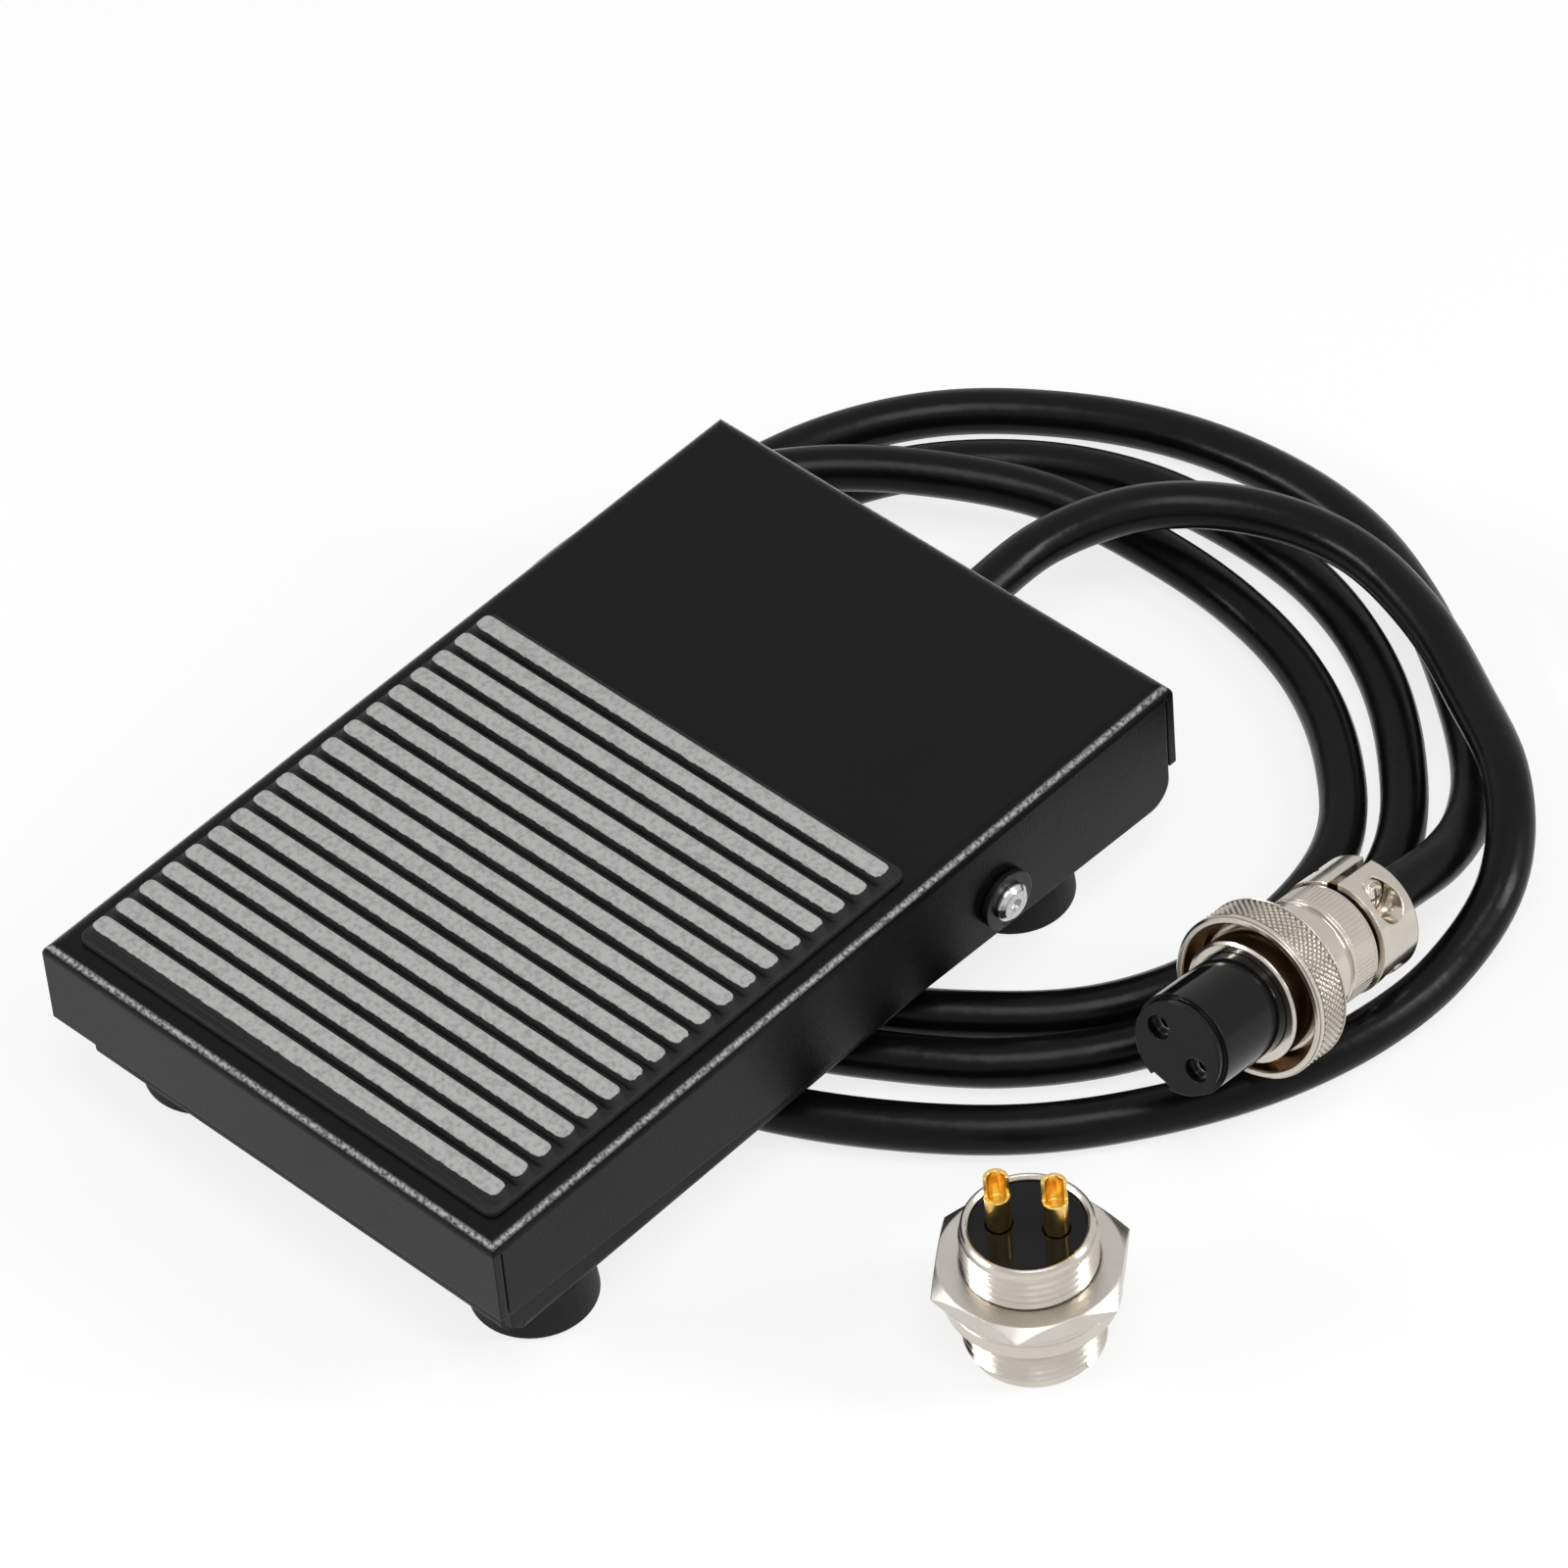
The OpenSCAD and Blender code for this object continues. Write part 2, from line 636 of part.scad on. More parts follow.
module micro_block(x0, x1) {
    difference() {
        translate([x0, micro_y - micro_l / 2, micro_z]) cube([x1 - x0, micro_l, micro_h]);
        micro_holes() rotate([0, 90, 0])
            cylinder(d = micro_screw_d + 2 * fit_gap, h = through, center = true);
        for (end = [-1, 1]) translate([0, micro_y + end * micro_l / 2, micro_z])
            rotate([45, 0, 0]) cube([through, 1.2, 1.2], center = true);
        translate([0, plunger_y, micro_top]) cube([3 + 2 * seat_gap, 2 + 2 * seat_gap, 3], center = true);
    }
}

module micro_holes() {
    for (end = [-1, 1]) translate([0, micro_y + end * micro_hole_y / 2, micro_hole_z]) children();
}

module micro_case() {
    color("#1d1d1f") difference() {
        union() {
            micro_block(-micro_w / 2 + micro_lid_t, micro_w / 2);
            lever_ear(micro_w / 2 - ear_t);
        }
        lever_bore();
    }
}

module micro_lid() {
    color("#7c1f1c") difference() {
        union() {
            micro_block(-micro_w / 2, -micro_w / 2 + micro_lid_t);
            lever_ear(-micro_w / 2);
        }
        lever_bore();
    }
}

module lever_ear(x) {
    translate([x, lever_hinge_y - ear_w / 2, micro_top - eps])
        cube([ear_t, ear_w, lever_hinge_z - micro_top + 0.8]);
}

module lever_bore() {
    translate([0, lever_hinge_y, lever_hinge_z]) rotate([0, 90, 0])
        cylinder(d = lever_pin_d + 2 * fit_gap, h = through, center = true);
}

module micro_plunger() {
    tip = lever_hinge_z + (lever_hinge_y - plunger_y) * tan(lever_rise) - lever_t / 2 - seat_gap / 2;
    foot_z = micro_top - 1.5 + seat_gap;
    color("#c9b37a") translate([-1.5, plunger_y - 1, foot_z + 0.6]) cube([3, 2, tip - foot_z - 0.6]);
}

module micro_lever() {
    pin_half = micro_w / 2 - 0.1;
    color("#c6c9cc") translate([0, lever_hinge_y, lever_hinge_z]) {
        rotate([0, 90, 0]) cylinder(d = lever_pin_d, h = 2 * pin_half, center = true);
        rotate([-lever_rise, 0, 0]) translate([-lever_w / 2, -lever_reach, -lever_t / 2])
            cube([lever_w, lever_reach, lever_t]);
    }
}

// Three solder tags, bent towards the left just under the case
module micro_terminals() {
    tag_w = 2.8;
    reach = 8.5;
    color("#d9c07a") for (y = [8, 0.4, -7.4]) translate([0, micro_y + y - tag_w / 2, tag_z]) {
        translate([-reach, 0, 0]) cube([reach, tag_w, tag_t]);
        translate([-tag_t, 0, 0]) cube([tag_t, tag_w, micro_z - tag_z]);
    }
}

module insulation_sheet() {
    color("#8a6a3a") translate([-11, micro_y - 11.5, sheet])
        cube([11 + micro_w / 2 - 0.4, 23, insulation_t]);
}

module micro_bracket() {
    x = micro_w / 2;
    half = 10;
    color("#b9bcc0") difference() {
        union() {
            translate([x, micro_y - half, sheet]) cube([bracket_t, 2 * half, micro_top - sheet - 0.6]);
            translate([x, micro_y - half, sheet]) cube([bracket_reach, 2 * half, bracket_t]);
        }
        micro_holes() rotate([0, 90, 0])
            cylinder(d = micro_screw_d + 2 * fit_gap, h = through, center = true);
        bracket_holes() cylinder(d = m3_d + 2 * fit_gap, h = 3 * bracket_t);
    }
}

module bracket_holes() {
    for (end = [-1, 1]) translate([micro_w / 2 + bracket_reach - 4.5, micro_y + end * 6, 0]) children();
}

module micro_screws() {
    length = micro_w + bracket_t + 2.2;
    color("silver") micro_holes() translate([-micro_w / 2, 0, 0]) rotate([0, -90, 0])
        pan_screw(micro_screw_d, length, 4, 1.4);
}

module micro_nuts() {
    color("silver") micro_holes() translate([micro_w / 2 + bracket_t, 0, 0]) rotate([0, 90, 0])
        hex_nut(4.5, 1.8, micro_screw_d + 2 * fit_gap);
}

module bracket_screws() {
    color("silver") bracket_holes() translate([0, 0, sheet + bracket_t])
        pan_screw(m3_d, sheet + bracket_t, m3_head_d, m3_head_h);
}

// ---------------------------------------------------------------- cable entry

module cable_grommet() {
    flange_r = grommet_neck_d / 2 + 1;
    bore_r = cord_r + fit_gap;
    inner = tray_rear - sheet;
    tail = tray_rear + 8.5;
    color("#18181a") translate([0, 0, cord_z]) rotate([-90, 0, 0]) rotate_extrude() polygon([
        [bore_r, inner - 2.5], [flange_r - 0.6, inner - 2.5], [flange_r, inner - 1.5],
        [flange_r, inner], [grommet_neck_d / 2, inner], [grommet_neck_d / 2, tray_rear],
        [flange_r, tray_rear], [flange_r, tray_rear + 1.4], [bore_r + 1.5, tray_rear + 2],
        [bore_r + 0.8, tail], [bore_r, tail]]);
}

module clamp_holes() {
    for (side = [-1, 1]) translate([side * clamp_screw_x, clamp_y, 0]) children();
}

module cord_clamp_base() {
    top = cord_z - clamp_gap / 2;
    color("#232326") difference() {
        translate([-clamp_w / 2, clamp_y - clamp_l / 2, sheet]) cube([clamp_w, clamp_l, top - sheet]);
        translate([0, clamp_y, cord_z]) rotate([90, 0, 0])
            cylinder(r = cord_r + fit_gap, h = 2 * clamp_l, center = true);
        clamp_holes() cylinder(d = m3_d + 2 * fit_gap, h = 2 * cord_z);
    }
}

module cord_clamp_strap() {
    arch_r = cord_r + 1.6;
    color("#232326") difference() {
        union() {
            translate([-clamp_w / 2, clamp_y - clamp_l / 2, cord_z + clamp_gap / 2])
                cube([clamp_w, clamp_l, clamp_bar_h]);
            translate([0, clamp_y, cord_z]) rotate([90, 0, 0]) intersection() {
                cylinder(r = arch_r, h = clamp_l, center = true);
                translate([-arch_r, clamp_gap / 2, -clamp_l]) cube([2 * arch_r, arch_r, 2 * clamp_l]);
            }
        }
        translate([0, clamp_y, cord_z]) rotate([90, 0, 0])
            cylinder(r = cord_r + fit_gap, h = 2 * clamp_l, center = true);
        clamp_holes() cylinder(d = m3_d + 2 * fit_gap, h = 3 * cord_z);
        clamp_holes() translate([0, 0, cord_z + clamp_gap / 2 + clamp_bar_h])
            cylinder(d = m3_head_d + 0.4, h = arch_r);
    }
}

module cord_clamp_screws() {
    seat = cord_z + clamp_gap / 2 + clamp_bar_h;
    color("silver") clamp_holes() translate([0, 0, seat]) pan_screw(m3_d, seat, m3_head_d, m3_head_h);
}

module core_wires() {
    color("#8c2a22") for (route = wire_routes) tube(route, wire_r, 8);
}

module cord() {
    color("#1c1c1e") tube(cord_route, cord_r, 10);
}

// ---------------------------------------------------------------- round plug

// Children are drawn along +Z, which becomes the plug's forward direction
module plug_frame() {
    translate(plug_at) rotate([0, 0, -90 - plug_turn]) rotate([0, 90 - plug_tilt, 0]) children();
}

module at_poles(turn) {
    for (side = [-1, 1]) rotate(turn) translate([side * pole_pitch / 2, 0, 0]) children();
}

module coupling_ring() {
    back = -ring_front;
    rim = 0.4;
    color("#c8c4bd") plug_frame() rotate_extrude() polygon([
        [collar_d / 2 + fit_gap, back], [ring_d / 2 - rim, back], [ring_d / 2, back + rim],
        [ring_d / 2, ring_front - rim], [ring_d / 2 - rim, ring_front],
        [mouth_d / 2, ring_front], [mouth_d / 2, back + ring_wall],
        [collar_d / 2 + fit_gap, back + ring_wall]]);
}

module plug_front_shell() {
    bore_d = insert_d + 2 * fit_gap;
    lip = -ring_front + ring_wall + seat_gap;
    lip_r = mouth_d / 2 - seat_gap;
    color("#cfccc5") plug_frame() rotate_extrude() polygon([
        [bush_bore_d / 2, bush_end], [bush_d / 2, bush_end], [bush_d / 2, shell_front],
        [collar_d / 2, shell_front], [collar_d / 2, lip], [lip_r, lip], [lip_r, lip + 1],
        [collar_d / 2, lip + 1], [collar_d / 2, collar_front - 0.2],
        [collar_d / 2 - 0.3, collar_front], [bore_d / 2, collar_front],
        [bore_d / 2, insert_back - eps], [bush_bore_d / 2, insert_back - eps]]);
}

module plug_insert() {
    key_w = 2.4;
    key_depth = 1;
    nose_r = insert_d / 2 - 0.4;
    color("#161618") plug_frame() difference() {
        rotate_extrude() polygon([[0, insert_back], [insert_d / 2, insert_back],
            [insert_d / 2, insert_reach - 1], [nose_r, insert_reach - 1],
            [nose_r, insert_reach], [0, insert_reach]]);
        at_poles(pole_turn) translate([0, 0, insert_back - 1]) cylinder(d = pole_d, h = insert_reach + 4);
        rotate(key_turn) translate([insert_d / 2 - key_depth, -key_w / 2, collar_front])
            cube([2 * key_depth, key_w, insert_reach]);
    }
}

module plug_contacts() {
    back = -8;
    front = insert_reach - 1.5;
    color("#d8b24a") plug_frame() at_poles(pole_turn) difference() {
        translate([0, 0, back]) cylinder(d = pole_d - 2 * fit_gap, h = front - back);
        translate([0, 0, front - 8]) cylinder(d = 1.7, h = 9);
        translate([0, 0, back - 1]) cylinder(d = 1.9, h = 4);
        translate([-pole_d, 0.2, back - 1]) cube([2 * pole_d, pole_d, 3.4]);
    }
}

module plug_rear_shell() {
    shell_r = shell_d / 2;
    grip_r = shell_r - 0.1;
    throat_r = throat_d / 2 + 0.4;
    color("#cbc8c1") plug_frame() difference() {
        union() {
            rotate_extrude() polygon([[bush_d / 2 + fit_gap, shell_front],
                [shell_r, shell_front], [shell_r, shell_step], [grip_r - 0.4, shell_step - 0.2],
                [grip_r - 0.4, shell_step - 0.7], [grip_r, shell_step - 0.9],
                [grip_r, shell_end + 0.6], [grip_r - 0.6, shell_end],
                [throat_r, shell_end], [throat_r, bush_end - seat_gap],
                [bush_d / 2 + fit_gap, bush_end - seat_gap]]);
            rotate(clamp_turn) saddle_half(1);
        }
        clamp_screw_places() cylinder(d = 2 + 2 * fit_gap, h = through, center = true);
    }
}

// Half of the cable saddle behind the shell: side 1 is under the cable, -1 its strap
module saddle_half(side) {
    intersection() {
        translate([0, 0, saddle_end]) ring_tube(saddle_d, throat_d, shell_end - saddle_end + saddle_root);
        translate([side > 0 ? saddle_split : -saddle_d, -saddle_d, saddle_end])
            cube([saddle_d - saddle_split, 2 * saddle_d, shell_end - saddle_end + 1]);
    }
}

module clamp_screw_places() {
    for (side = [-1, 1]) rotate(clamp_turn)
        translate([0, side * clamp_screw_y, (saddle_end + shell_end) / 2]) rotate([0, 90, 0]) children();
}

module plug_clamp() {
    color("#d5d2cb") plug_frame() difference() {
        rotate(clamp_turn) intersection() {
            saddle_half(-1);
            translate([-saddle_d, -saddle_d, saddle_end])
                cube([2 * saddle_d, 2 * saddle_d, shell_end - saddle_end - seat_gap]);
        }
        clamp_screw_places() cylinder(d = 2 + 2 * fit_gap, h = through, center = true);
        clamp_screw_places() translate([0, 0, -saddle_d - clamp_seat]) cylinder(d = 4, h = saddle_d);
    }
}

module plug_clamp_screws() {
    color("#bdbab4") plug_frame() clamp_screw_places() translate([0, 0, -clamp_seat]) mirror([0, 0, 1])
        pan_screw(2, clamp_seat + 3, 3.6, 1.3);
}

// ---------------------------------------------------------------- panel socket

module socket_shell() {
    thread_r = thread_d / 2;
    inner_r = thread_r - shell_wall - 0.4;
    root_r = rear_thread_d / 2;
    flange_r = flange_d / 2;
    flange_top = socket_flange_z + socket_flange_h;
    color("#d3d0c8") translate(socket_at) rotate_extrude() polygon([
        [inner_r, 0.4], [inner_r + 0.4, 0], [thread_r - 0.4, 0], [thread_r, 0.4],
        [thread_r, socket_flange_z], [flange_r - 0.2, socket_flange_z],
        [flange_r, socket_flange_z + 0.2], [flange_r, flange_top], [root_r, flange_top],
        [root_r, socket_h - 0.5], [root_r - 0.4, socket_h], [inner_r, socket_h]]);
}

module socket_insulator() {
    body_d = thread_d - 2 * shell_wall - 0.8 - 2 * fit_gap;
    color("#151517") translate(socket_at) difference() {
        translate([0, 0, socket_face_z]) cylinder(d = body_d, h = socket_h - 0.6 - socket_face_z);
        at_poles(pole_angle) cylinder(d = 2 + 2 * fit_gap, h = through);
        at_poles(pole_angle) translate([0, 0, socket_h - 2]) cylinder(d = 3, h = 4);
    }
}

module socket_pins() {
    pin_low = 1.5;
    cup_d = 2.7;
    neck_top = socket_h - 1.2;
    color("#d9b13c") translate(socket_at) at_poles(pole_angle) difference() {
        rotate_extrude() polygon([[0, pin_low], [0.6, pin_low], [1, pin_low + 0.6],
            [1, neck_top], [cup_d / 2, neck_top], [cup_d / 2, cup_top_z], [0, cup_top_z]]);
        translate([0, 0, cup_top_z - 3.5]) cylinder(d = 1.9, h = 4);
        rotate(-pole_angle - 45) translate([0, -2, cup_top_z - 2.6]) cube([2, 4, 4]);
    }
}

module socket_nut() {
    color("#c5c2bb") translate(socket_at) translate([0, 0, nut_z]) rotate(nut_turn)
        hex_nut(nut_af, nut_h, rear_thread_d + 2 * fit_gap);
}

module socket_washer() {
    color("#cfccc5") translate(socket_at)
        translate([0, 0, socket_flange_z + socket_flange_h])
            ring_tube(flange_d, rear_thread_d + 4 * fit_gap, washer_t - eps);
}

base_tray();
rubber_feet();
foot_screws();
foot_nuts();
pedal_cover();
pedal_pad();
axle();
axle_clips();
return_springs();
spring_cups();
striker_button();
micro_case();
micro_lid();
micro_plunger();
micro_lever();
micro_terminals();
micro_bracket();
micro_screws();
micro_nuts();
bracket_screws();
insulation_sheet();
cable_grommet();
cord_clamp_base();
cord_clamp_strap();
cord_clamp_screws();
core_wires();
cord();
coupling_ring();
plug_front_shell();
plug_insert();
plug_contacts();
plug_rear_shell();
plug_clamp();
plug_clamp_screws();
socket_shell();
socket_insulator();
socket_pins();
socket_nut();
socket_washer();
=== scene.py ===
# %% [markdown]
# # A sheet-steel foot switch with its cable, plug and panel socket
#
# The construction comes in as a fixed frame: every rigid piece is already there
# at its real size. This notebook gives those pieces their finishes, models the
# pieces whose surface needs more than a plain solid, and lights the whole.
# Lengths are metres, X runs to the pedal's right, Y to its rear and Z up.

# %% Load the frame
import json
import math

import bmesh
import bpy
from mathutils import Matrix, Vector


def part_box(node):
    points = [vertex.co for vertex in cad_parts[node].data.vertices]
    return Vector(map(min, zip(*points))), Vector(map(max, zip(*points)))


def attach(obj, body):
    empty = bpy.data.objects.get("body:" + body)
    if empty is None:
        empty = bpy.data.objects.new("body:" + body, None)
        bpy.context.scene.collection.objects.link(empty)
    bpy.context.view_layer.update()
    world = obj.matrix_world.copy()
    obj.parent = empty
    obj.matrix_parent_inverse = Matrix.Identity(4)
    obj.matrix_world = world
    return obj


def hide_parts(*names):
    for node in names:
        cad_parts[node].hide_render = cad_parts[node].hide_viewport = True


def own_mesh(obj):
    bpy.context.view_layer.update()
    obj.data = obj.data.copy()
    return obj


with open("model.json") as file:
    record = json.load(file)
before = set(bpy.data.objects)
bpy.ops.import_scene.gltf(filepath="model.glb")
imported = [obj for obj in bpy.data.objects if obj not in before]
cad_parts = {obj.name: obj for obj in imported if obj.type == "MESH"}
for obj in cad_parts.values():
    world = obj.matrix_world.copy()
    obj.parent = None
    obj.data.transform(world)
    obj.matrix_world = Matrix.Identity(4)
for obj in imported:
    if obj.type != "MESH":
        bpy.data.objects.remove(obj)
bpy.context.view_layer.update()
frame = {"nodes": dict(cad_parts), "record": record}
nodes = frame["nodes"]
MM = 0.001

# %% [markdown]
# ## Camera
#
# A long lens from far away keeps the pedal's edges almost parallel, as in a
# catalogue picture. The camera looks down over the right front corner. Its
# place follows from two angles and a distance, and a small roll levels it.

# %% Camera
AZIMUTH = math.radians(46.848)
ELEVATION = math.radians(45.767)
ROLL = math.radians(-5.303)
DISTANCE = 0.982
SENSOR = 36.0
FOCAL_PER_WIDTH = 5.7575
target = Vector((0.002223, 0.025975, 0.005))

backward = Vector((math.sin(AZIMUTH) * math.cos(ELEVATION),
                   -math.cos(AZIMUTH) * math.cos(ELEVATION),
                   math.sin(ELEVATION)))
level_right = Vector((0, 0, 1)).cross(backward).normalized()
level_up = backward.cross(level_right)
right = math.cos(ROLL) * level_right + math.sin(ROLL) * level_up
up = math.cos(ROLL) * level_up - math.sin(ROLL) * level_right

camera_data = bpy.data.cameras.new("product_camera")
camera_data.sensor_width = SENSOR
camera_data.lens = SENSOR * FOCAL_PER_WIDTH
camera = bpy.data.objects.new("product_camera", camera_data)
bpy.context.scene.collection.objects.link(camera)
camera.matrix_world = Matrix.Translation(target + DISTANCE * backward) @ Matrix(
    (right, up, backward)).transposed().to_4x4()
bpy.context.scene.camera = camera
print("camera at", [round(c, 3) for c in camera.location])

# %% [markdown]
# ## The cable
#
# The cable is one round lead of a little over a metre, laid in three loose
# turns that pass under the tray and end in the plug. A curve that runs through
# chosen points and has a round bevel is the natural tool: its own line is the
# cable's centre line, and it stays smooth between the points.

# %% Cable
CABLE_DIAMETER = 5.4 * MM

leaving = [(0, 0.035, 0.0065), (0, 0.046, 0.0065), (0, 0.059, 0.0065),
           (0.0005, 0.071, 0.0068), (0.005, 0.082, 0.0064), (0.014, 0.0895, 0.0058),
           (0.026, 0.0925, 0.0052), (0.0385, 0.09, 0.0046), (0.05, 0.0845, 0.0038),
           (0.0618, 0.077, 0.0036), (0.0689, 0.0676, 0.0006), (0.0706, 0.056, -0.0028)]
outer_turn = [(0.0694, 0.0435, -0.0035), (0.0654, 0.0315, -0.0035),
              (0.0586, 0.02, -0.0035), (0.0505, 0.0105, -0.0035), (0.04, 0.0024, -0.0035),
              (0.028, -0.0042, -0.0035), (0.015, -0.0087, -0.0035),
              (0.001, -0.01, -0.0035), (-0.0125, -0.0078, -0.0035),
              (-0.025, -0.0015, -0.0035), (-0.0357, 0.0075, -0.0032),
              (-0.0415, 0.0187, -0.001), (-0.0415, 0.0315, 0.002), (-0.041, 0.044, 0.0023),
              (-0.038, 0.0565, 0.0023), (-0.03, 0.067, 0.0023)]
inner_turn = [(-0.019, 0.0755, 0.0016), (-0.008, 0.0815, 0), (0.005, 0.0845, -0.0025),
              (0.018, 0.084, -0.0035), (0.0305, 0.08, -0.0035), (0.041, 0.073, -0.0035),
              (0.049, 0.0635, -0.0035), (0.0517, 0.0515, -0.0035),
              (0.0504, 0.039, -0.0035), (0.0448, 0.028, -0.0035), (0.035, 0.019, -0.0035),
              (0.0236, 0.0118, -0.0035), (0.0113, 0.0065, -0.0035),
              (-0.0015, 0.0045, -0.0035), (-0.014, 0.0075, -0.0035),
              (-0.0247, 0.015, -0.0035), (-0.0312, 0.0265, -0.0035),
              (-0.035, 0.039, -0.0035), (-0.0348, 0.052, -0.0035),
              (-0.033, 0.065, -0.0035)]
middle_turn = [(-0.027, 0.077, -0.0035), (-0.017, 0.0865, -0.0035),
               (-0.005, 0.092, -0.0035), (0.0085, 0.0935, -0.0035),
               (0.022, 0.092, -0.0035), (0.035, 0.0865, -0.0035), (0.046, 0.0778, -0.0035),
               (0.0545, 0.067, -0.0035), (0.0579, 0.054, -0.0035),
               (0.0572, 0.0405, -0.0035), (0.052, 0.0275, -0.0035),
               (0.043, 0.0166, -0.0035), (0.0312, 0.0084, -0.0035),
               (0.019, 0.0023, -0.0035), (0.006, -0.0015, -0.0035),
               (-0.0075, -0.0015, -0.0035), (-0.02, 0.0035, -0.0035),
               (-0.03, 0.012, -0.0035), (-0.0365, 0.0233, -0.0035),
               (-0.0406, 0.036, -0.0035), (-0.0412, 0.049, -0.0035),
               (-0.041, 0.062, -0.0035)]
last_turn = [(-0.0375, 0.075, -0.0035), (-0.0305, 0.086, -0.0035),
             (-0.02, 0.0945, -0.0035), (-0.0075, 0.1005, -0.0035), (0.006, 0.103, -0.0035),
             (0.0195, 0.102, -0.0035), (0.0325, 0.097, -0.0035), (0.044, 0.0895, -0.0035),
             (0.053, 0.0818, -0.0031), (0.059, 0.0738, -0.0011), (0.0621, 0.0658, 0.0013),
             (0.0629, 0.0576, 0.00344), (0.06338, 0.05173, 0.00486),
             (0.064, 0.043, 0.00697)]
route = leaving + outer_turn + inner_turn + middle_turn + last_turn


def round_wire(name, points, diameter, lowest=None, steps=8):
    """A round wire through points, as a curve of one open spline."""
    curve = bpy.data.curves.new(name, "CURVE")
    curve.dimensions = "3D"
    curve.resolution_u = steps
    curve.bevel_depth = 1      # times each point's radius
    curve.bevel_resolution = 5
    curve.use_fill_caps = True
    spline = curve.splines.new("BEZIER")
    spline.bezier_points.add(len(points) - 1)
    places = [Vector(point) for point in points]
    for i, bezier in enumerate(spline.bezier_points):
        before, here = places[max(i - 1, 0)], places[i]
        after = places[min(i + 1, len(places) - 1)]
        along = (after - before).normalized()
        bezier.handle_left_type = bezier.handle_right_type = "FREE"
        bezier.co = here
        bezier.radius = diameter / 2
        bezier.handle_left = here - along * (here - before).length / 3
        bezier.handle_right = here + along * (after - here).length / 3
        if lowest is not None:
            bezier.handle_left.z = max(bezier.handle_left.z, lowest)
            bezier.handle_right.z = max(bezier.handle_right.z, lowest)
    wire = bpy.data.objects.new(name, curve)
    bpy.context.scene.collection.objects.link(wire)
    return wire


BED_Z = -0.0035
cable = round_wire("cable_jacket", route, CABLE_DIAMETER, lowest=BED_Z)
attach(cable, "base")
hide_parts("cord")
print("cable:", len(route), "points")

# %% [markdown]
# ## Finishes
#
# Nearly every finish here is one base colour that is never quite even: a broad
# change of tone, a fine grain that the fingers would feel, and edges that are
# a little round. One function builds that from two noises and a Bevel node, all
# on Object coordinates, so the grain stays at its real size on every piece.

# %% Helpers for nodes
def link(tree, start, end):
    """Joins two sockets."""
    tree.links.new(start, end)


def add_noise(tree, grain, detail=2.0):
    """Noise with features about `grain` metres across; returns its node."""
    coords = tree.nodes.new("ShaderNodeTexCoord")
    noise = tree.nodes.new("ShaderNodeTexNoise")
    noise.inputs["Scale"].default_value = 1 / grain
    noise.inputs["Detail"].default_value = detail
    link(tree, coords.outputs["Object"], noise.inputs["Vector"])
    return noise


def add_range(tree, source, from_low, from_high, to_low, to_high):
    """Maps a value from one range to another, clamped; returns the result."""
    spread = tree.nodes.new("ShaderNodeMapRange")
    for socket, value in zip(("From Min", "From Max", "To Min", "To Max"),
                             (from_low, from_high, to_low, to_high)):
        spread.inputs[socket].default_value = value
    link(tree, source, spread.inputs["Value"])
    return spread.outputs["Result"]


def add_mix(tree, factor, first, second):
    """Mixes two colours, each given as a socket or as (r, g, b)."""
    mix = tree.nodes.new("ShaderNodeMix")
    mix.data_type = "RGBA"
    link(tree, factor, mix.inputs["Factor"])
    for name, colour in (("A", first), ("B", second)):
        socket = [s for s in mix.inputs if s.name == name and s.type == "RGBA"][0]
        if isinstance(colour, tuple):
            socket.default_value = (*colour, 1)
        else:
            link(tree, colour, socket)
    return [s for s in mix.outputs if s.type == "RGBA"][0]


def add_math(tree, operation, first, second=None):
    """One Math node on sockets or numbers; returns its result."""
    node = tree.nodes.new("ShaderNodeMath")
    node.operation = operation
    for socket, value in zip(node.inputs, (first, second)):
        if value is None:
            continue
        if isinstance(value, (int, float)):
            socket.default_value = value
        else:
            link(tree, value, socket)
    return node.outputs[0]


# %% A finish
def make_finish(name, colour, roughness, metallic=0.0, tone=0.15, patch=6 * MM,
                grain=0.3 * MM, depth=0.01 * MM, rounding=0.25 * MM, shine=0.5):
    """An uneven, finely grained finish with softly rounded edges."""
    material = bpy.data.materials.new(name)
    material.use_nodes = True
    tree = material.node_tree
    shader = tree.nodes["Principled BSDF"]
    shader.inputs["Metallic"].default_value = metallic
    shader.inputs["Specular IOR Level"].default_value = shine
    broad = add_noise(tree, patch)
    dark = tuple(c * (1 - tone) for c in colour)
    light = tuple(min(c * (1 + tone), 1) for c in colour)
    link(tree, add_mix(tree, broad.outputs["Fac"], dark, light), shader.inputs["Base Color"])
    rough = add_range(tree, broad.outputs["Fac"], 0.3, 0.7, roughness * 0.85, roughness * 1.15)
    link(tree, rough, shader.inputs["Roughness"])
    bevel = tree.nodes.new("ShaderNodeBevel")
    bevel.samples = 4
    bevel.inputs["Radius"].default_value = rounding
    bump = tree.nodes.new("ShaderNodeBump")
    bump.inputs["Distance"].default_value = depth
    link(tree, add_noise(tree, grain).outputs["Fac"], bump.inputs["Height"])
    link(tree, bevel.outputs["Normal"], bump.inputs["Normal"])
    link(tree, bump.outputs["Normal"], shader.inputs["Normal"])
    return material


def dress(names, material):
    """Gives the CAD nodes in names this material."""
    for name in names:
        for slot in nodes[name].material_slots:
            slot.material = material
    print(material.name, "on", ", ".join(names))


# %% [markdown]
# ## Painted steel
#
# The cover and the tray are sheet steel with a black powder coat. Such paint is
# satin with a fine orange-peel grain, which is a bump here, and on the cover a
# second, sparser noise lets tiny specks show.

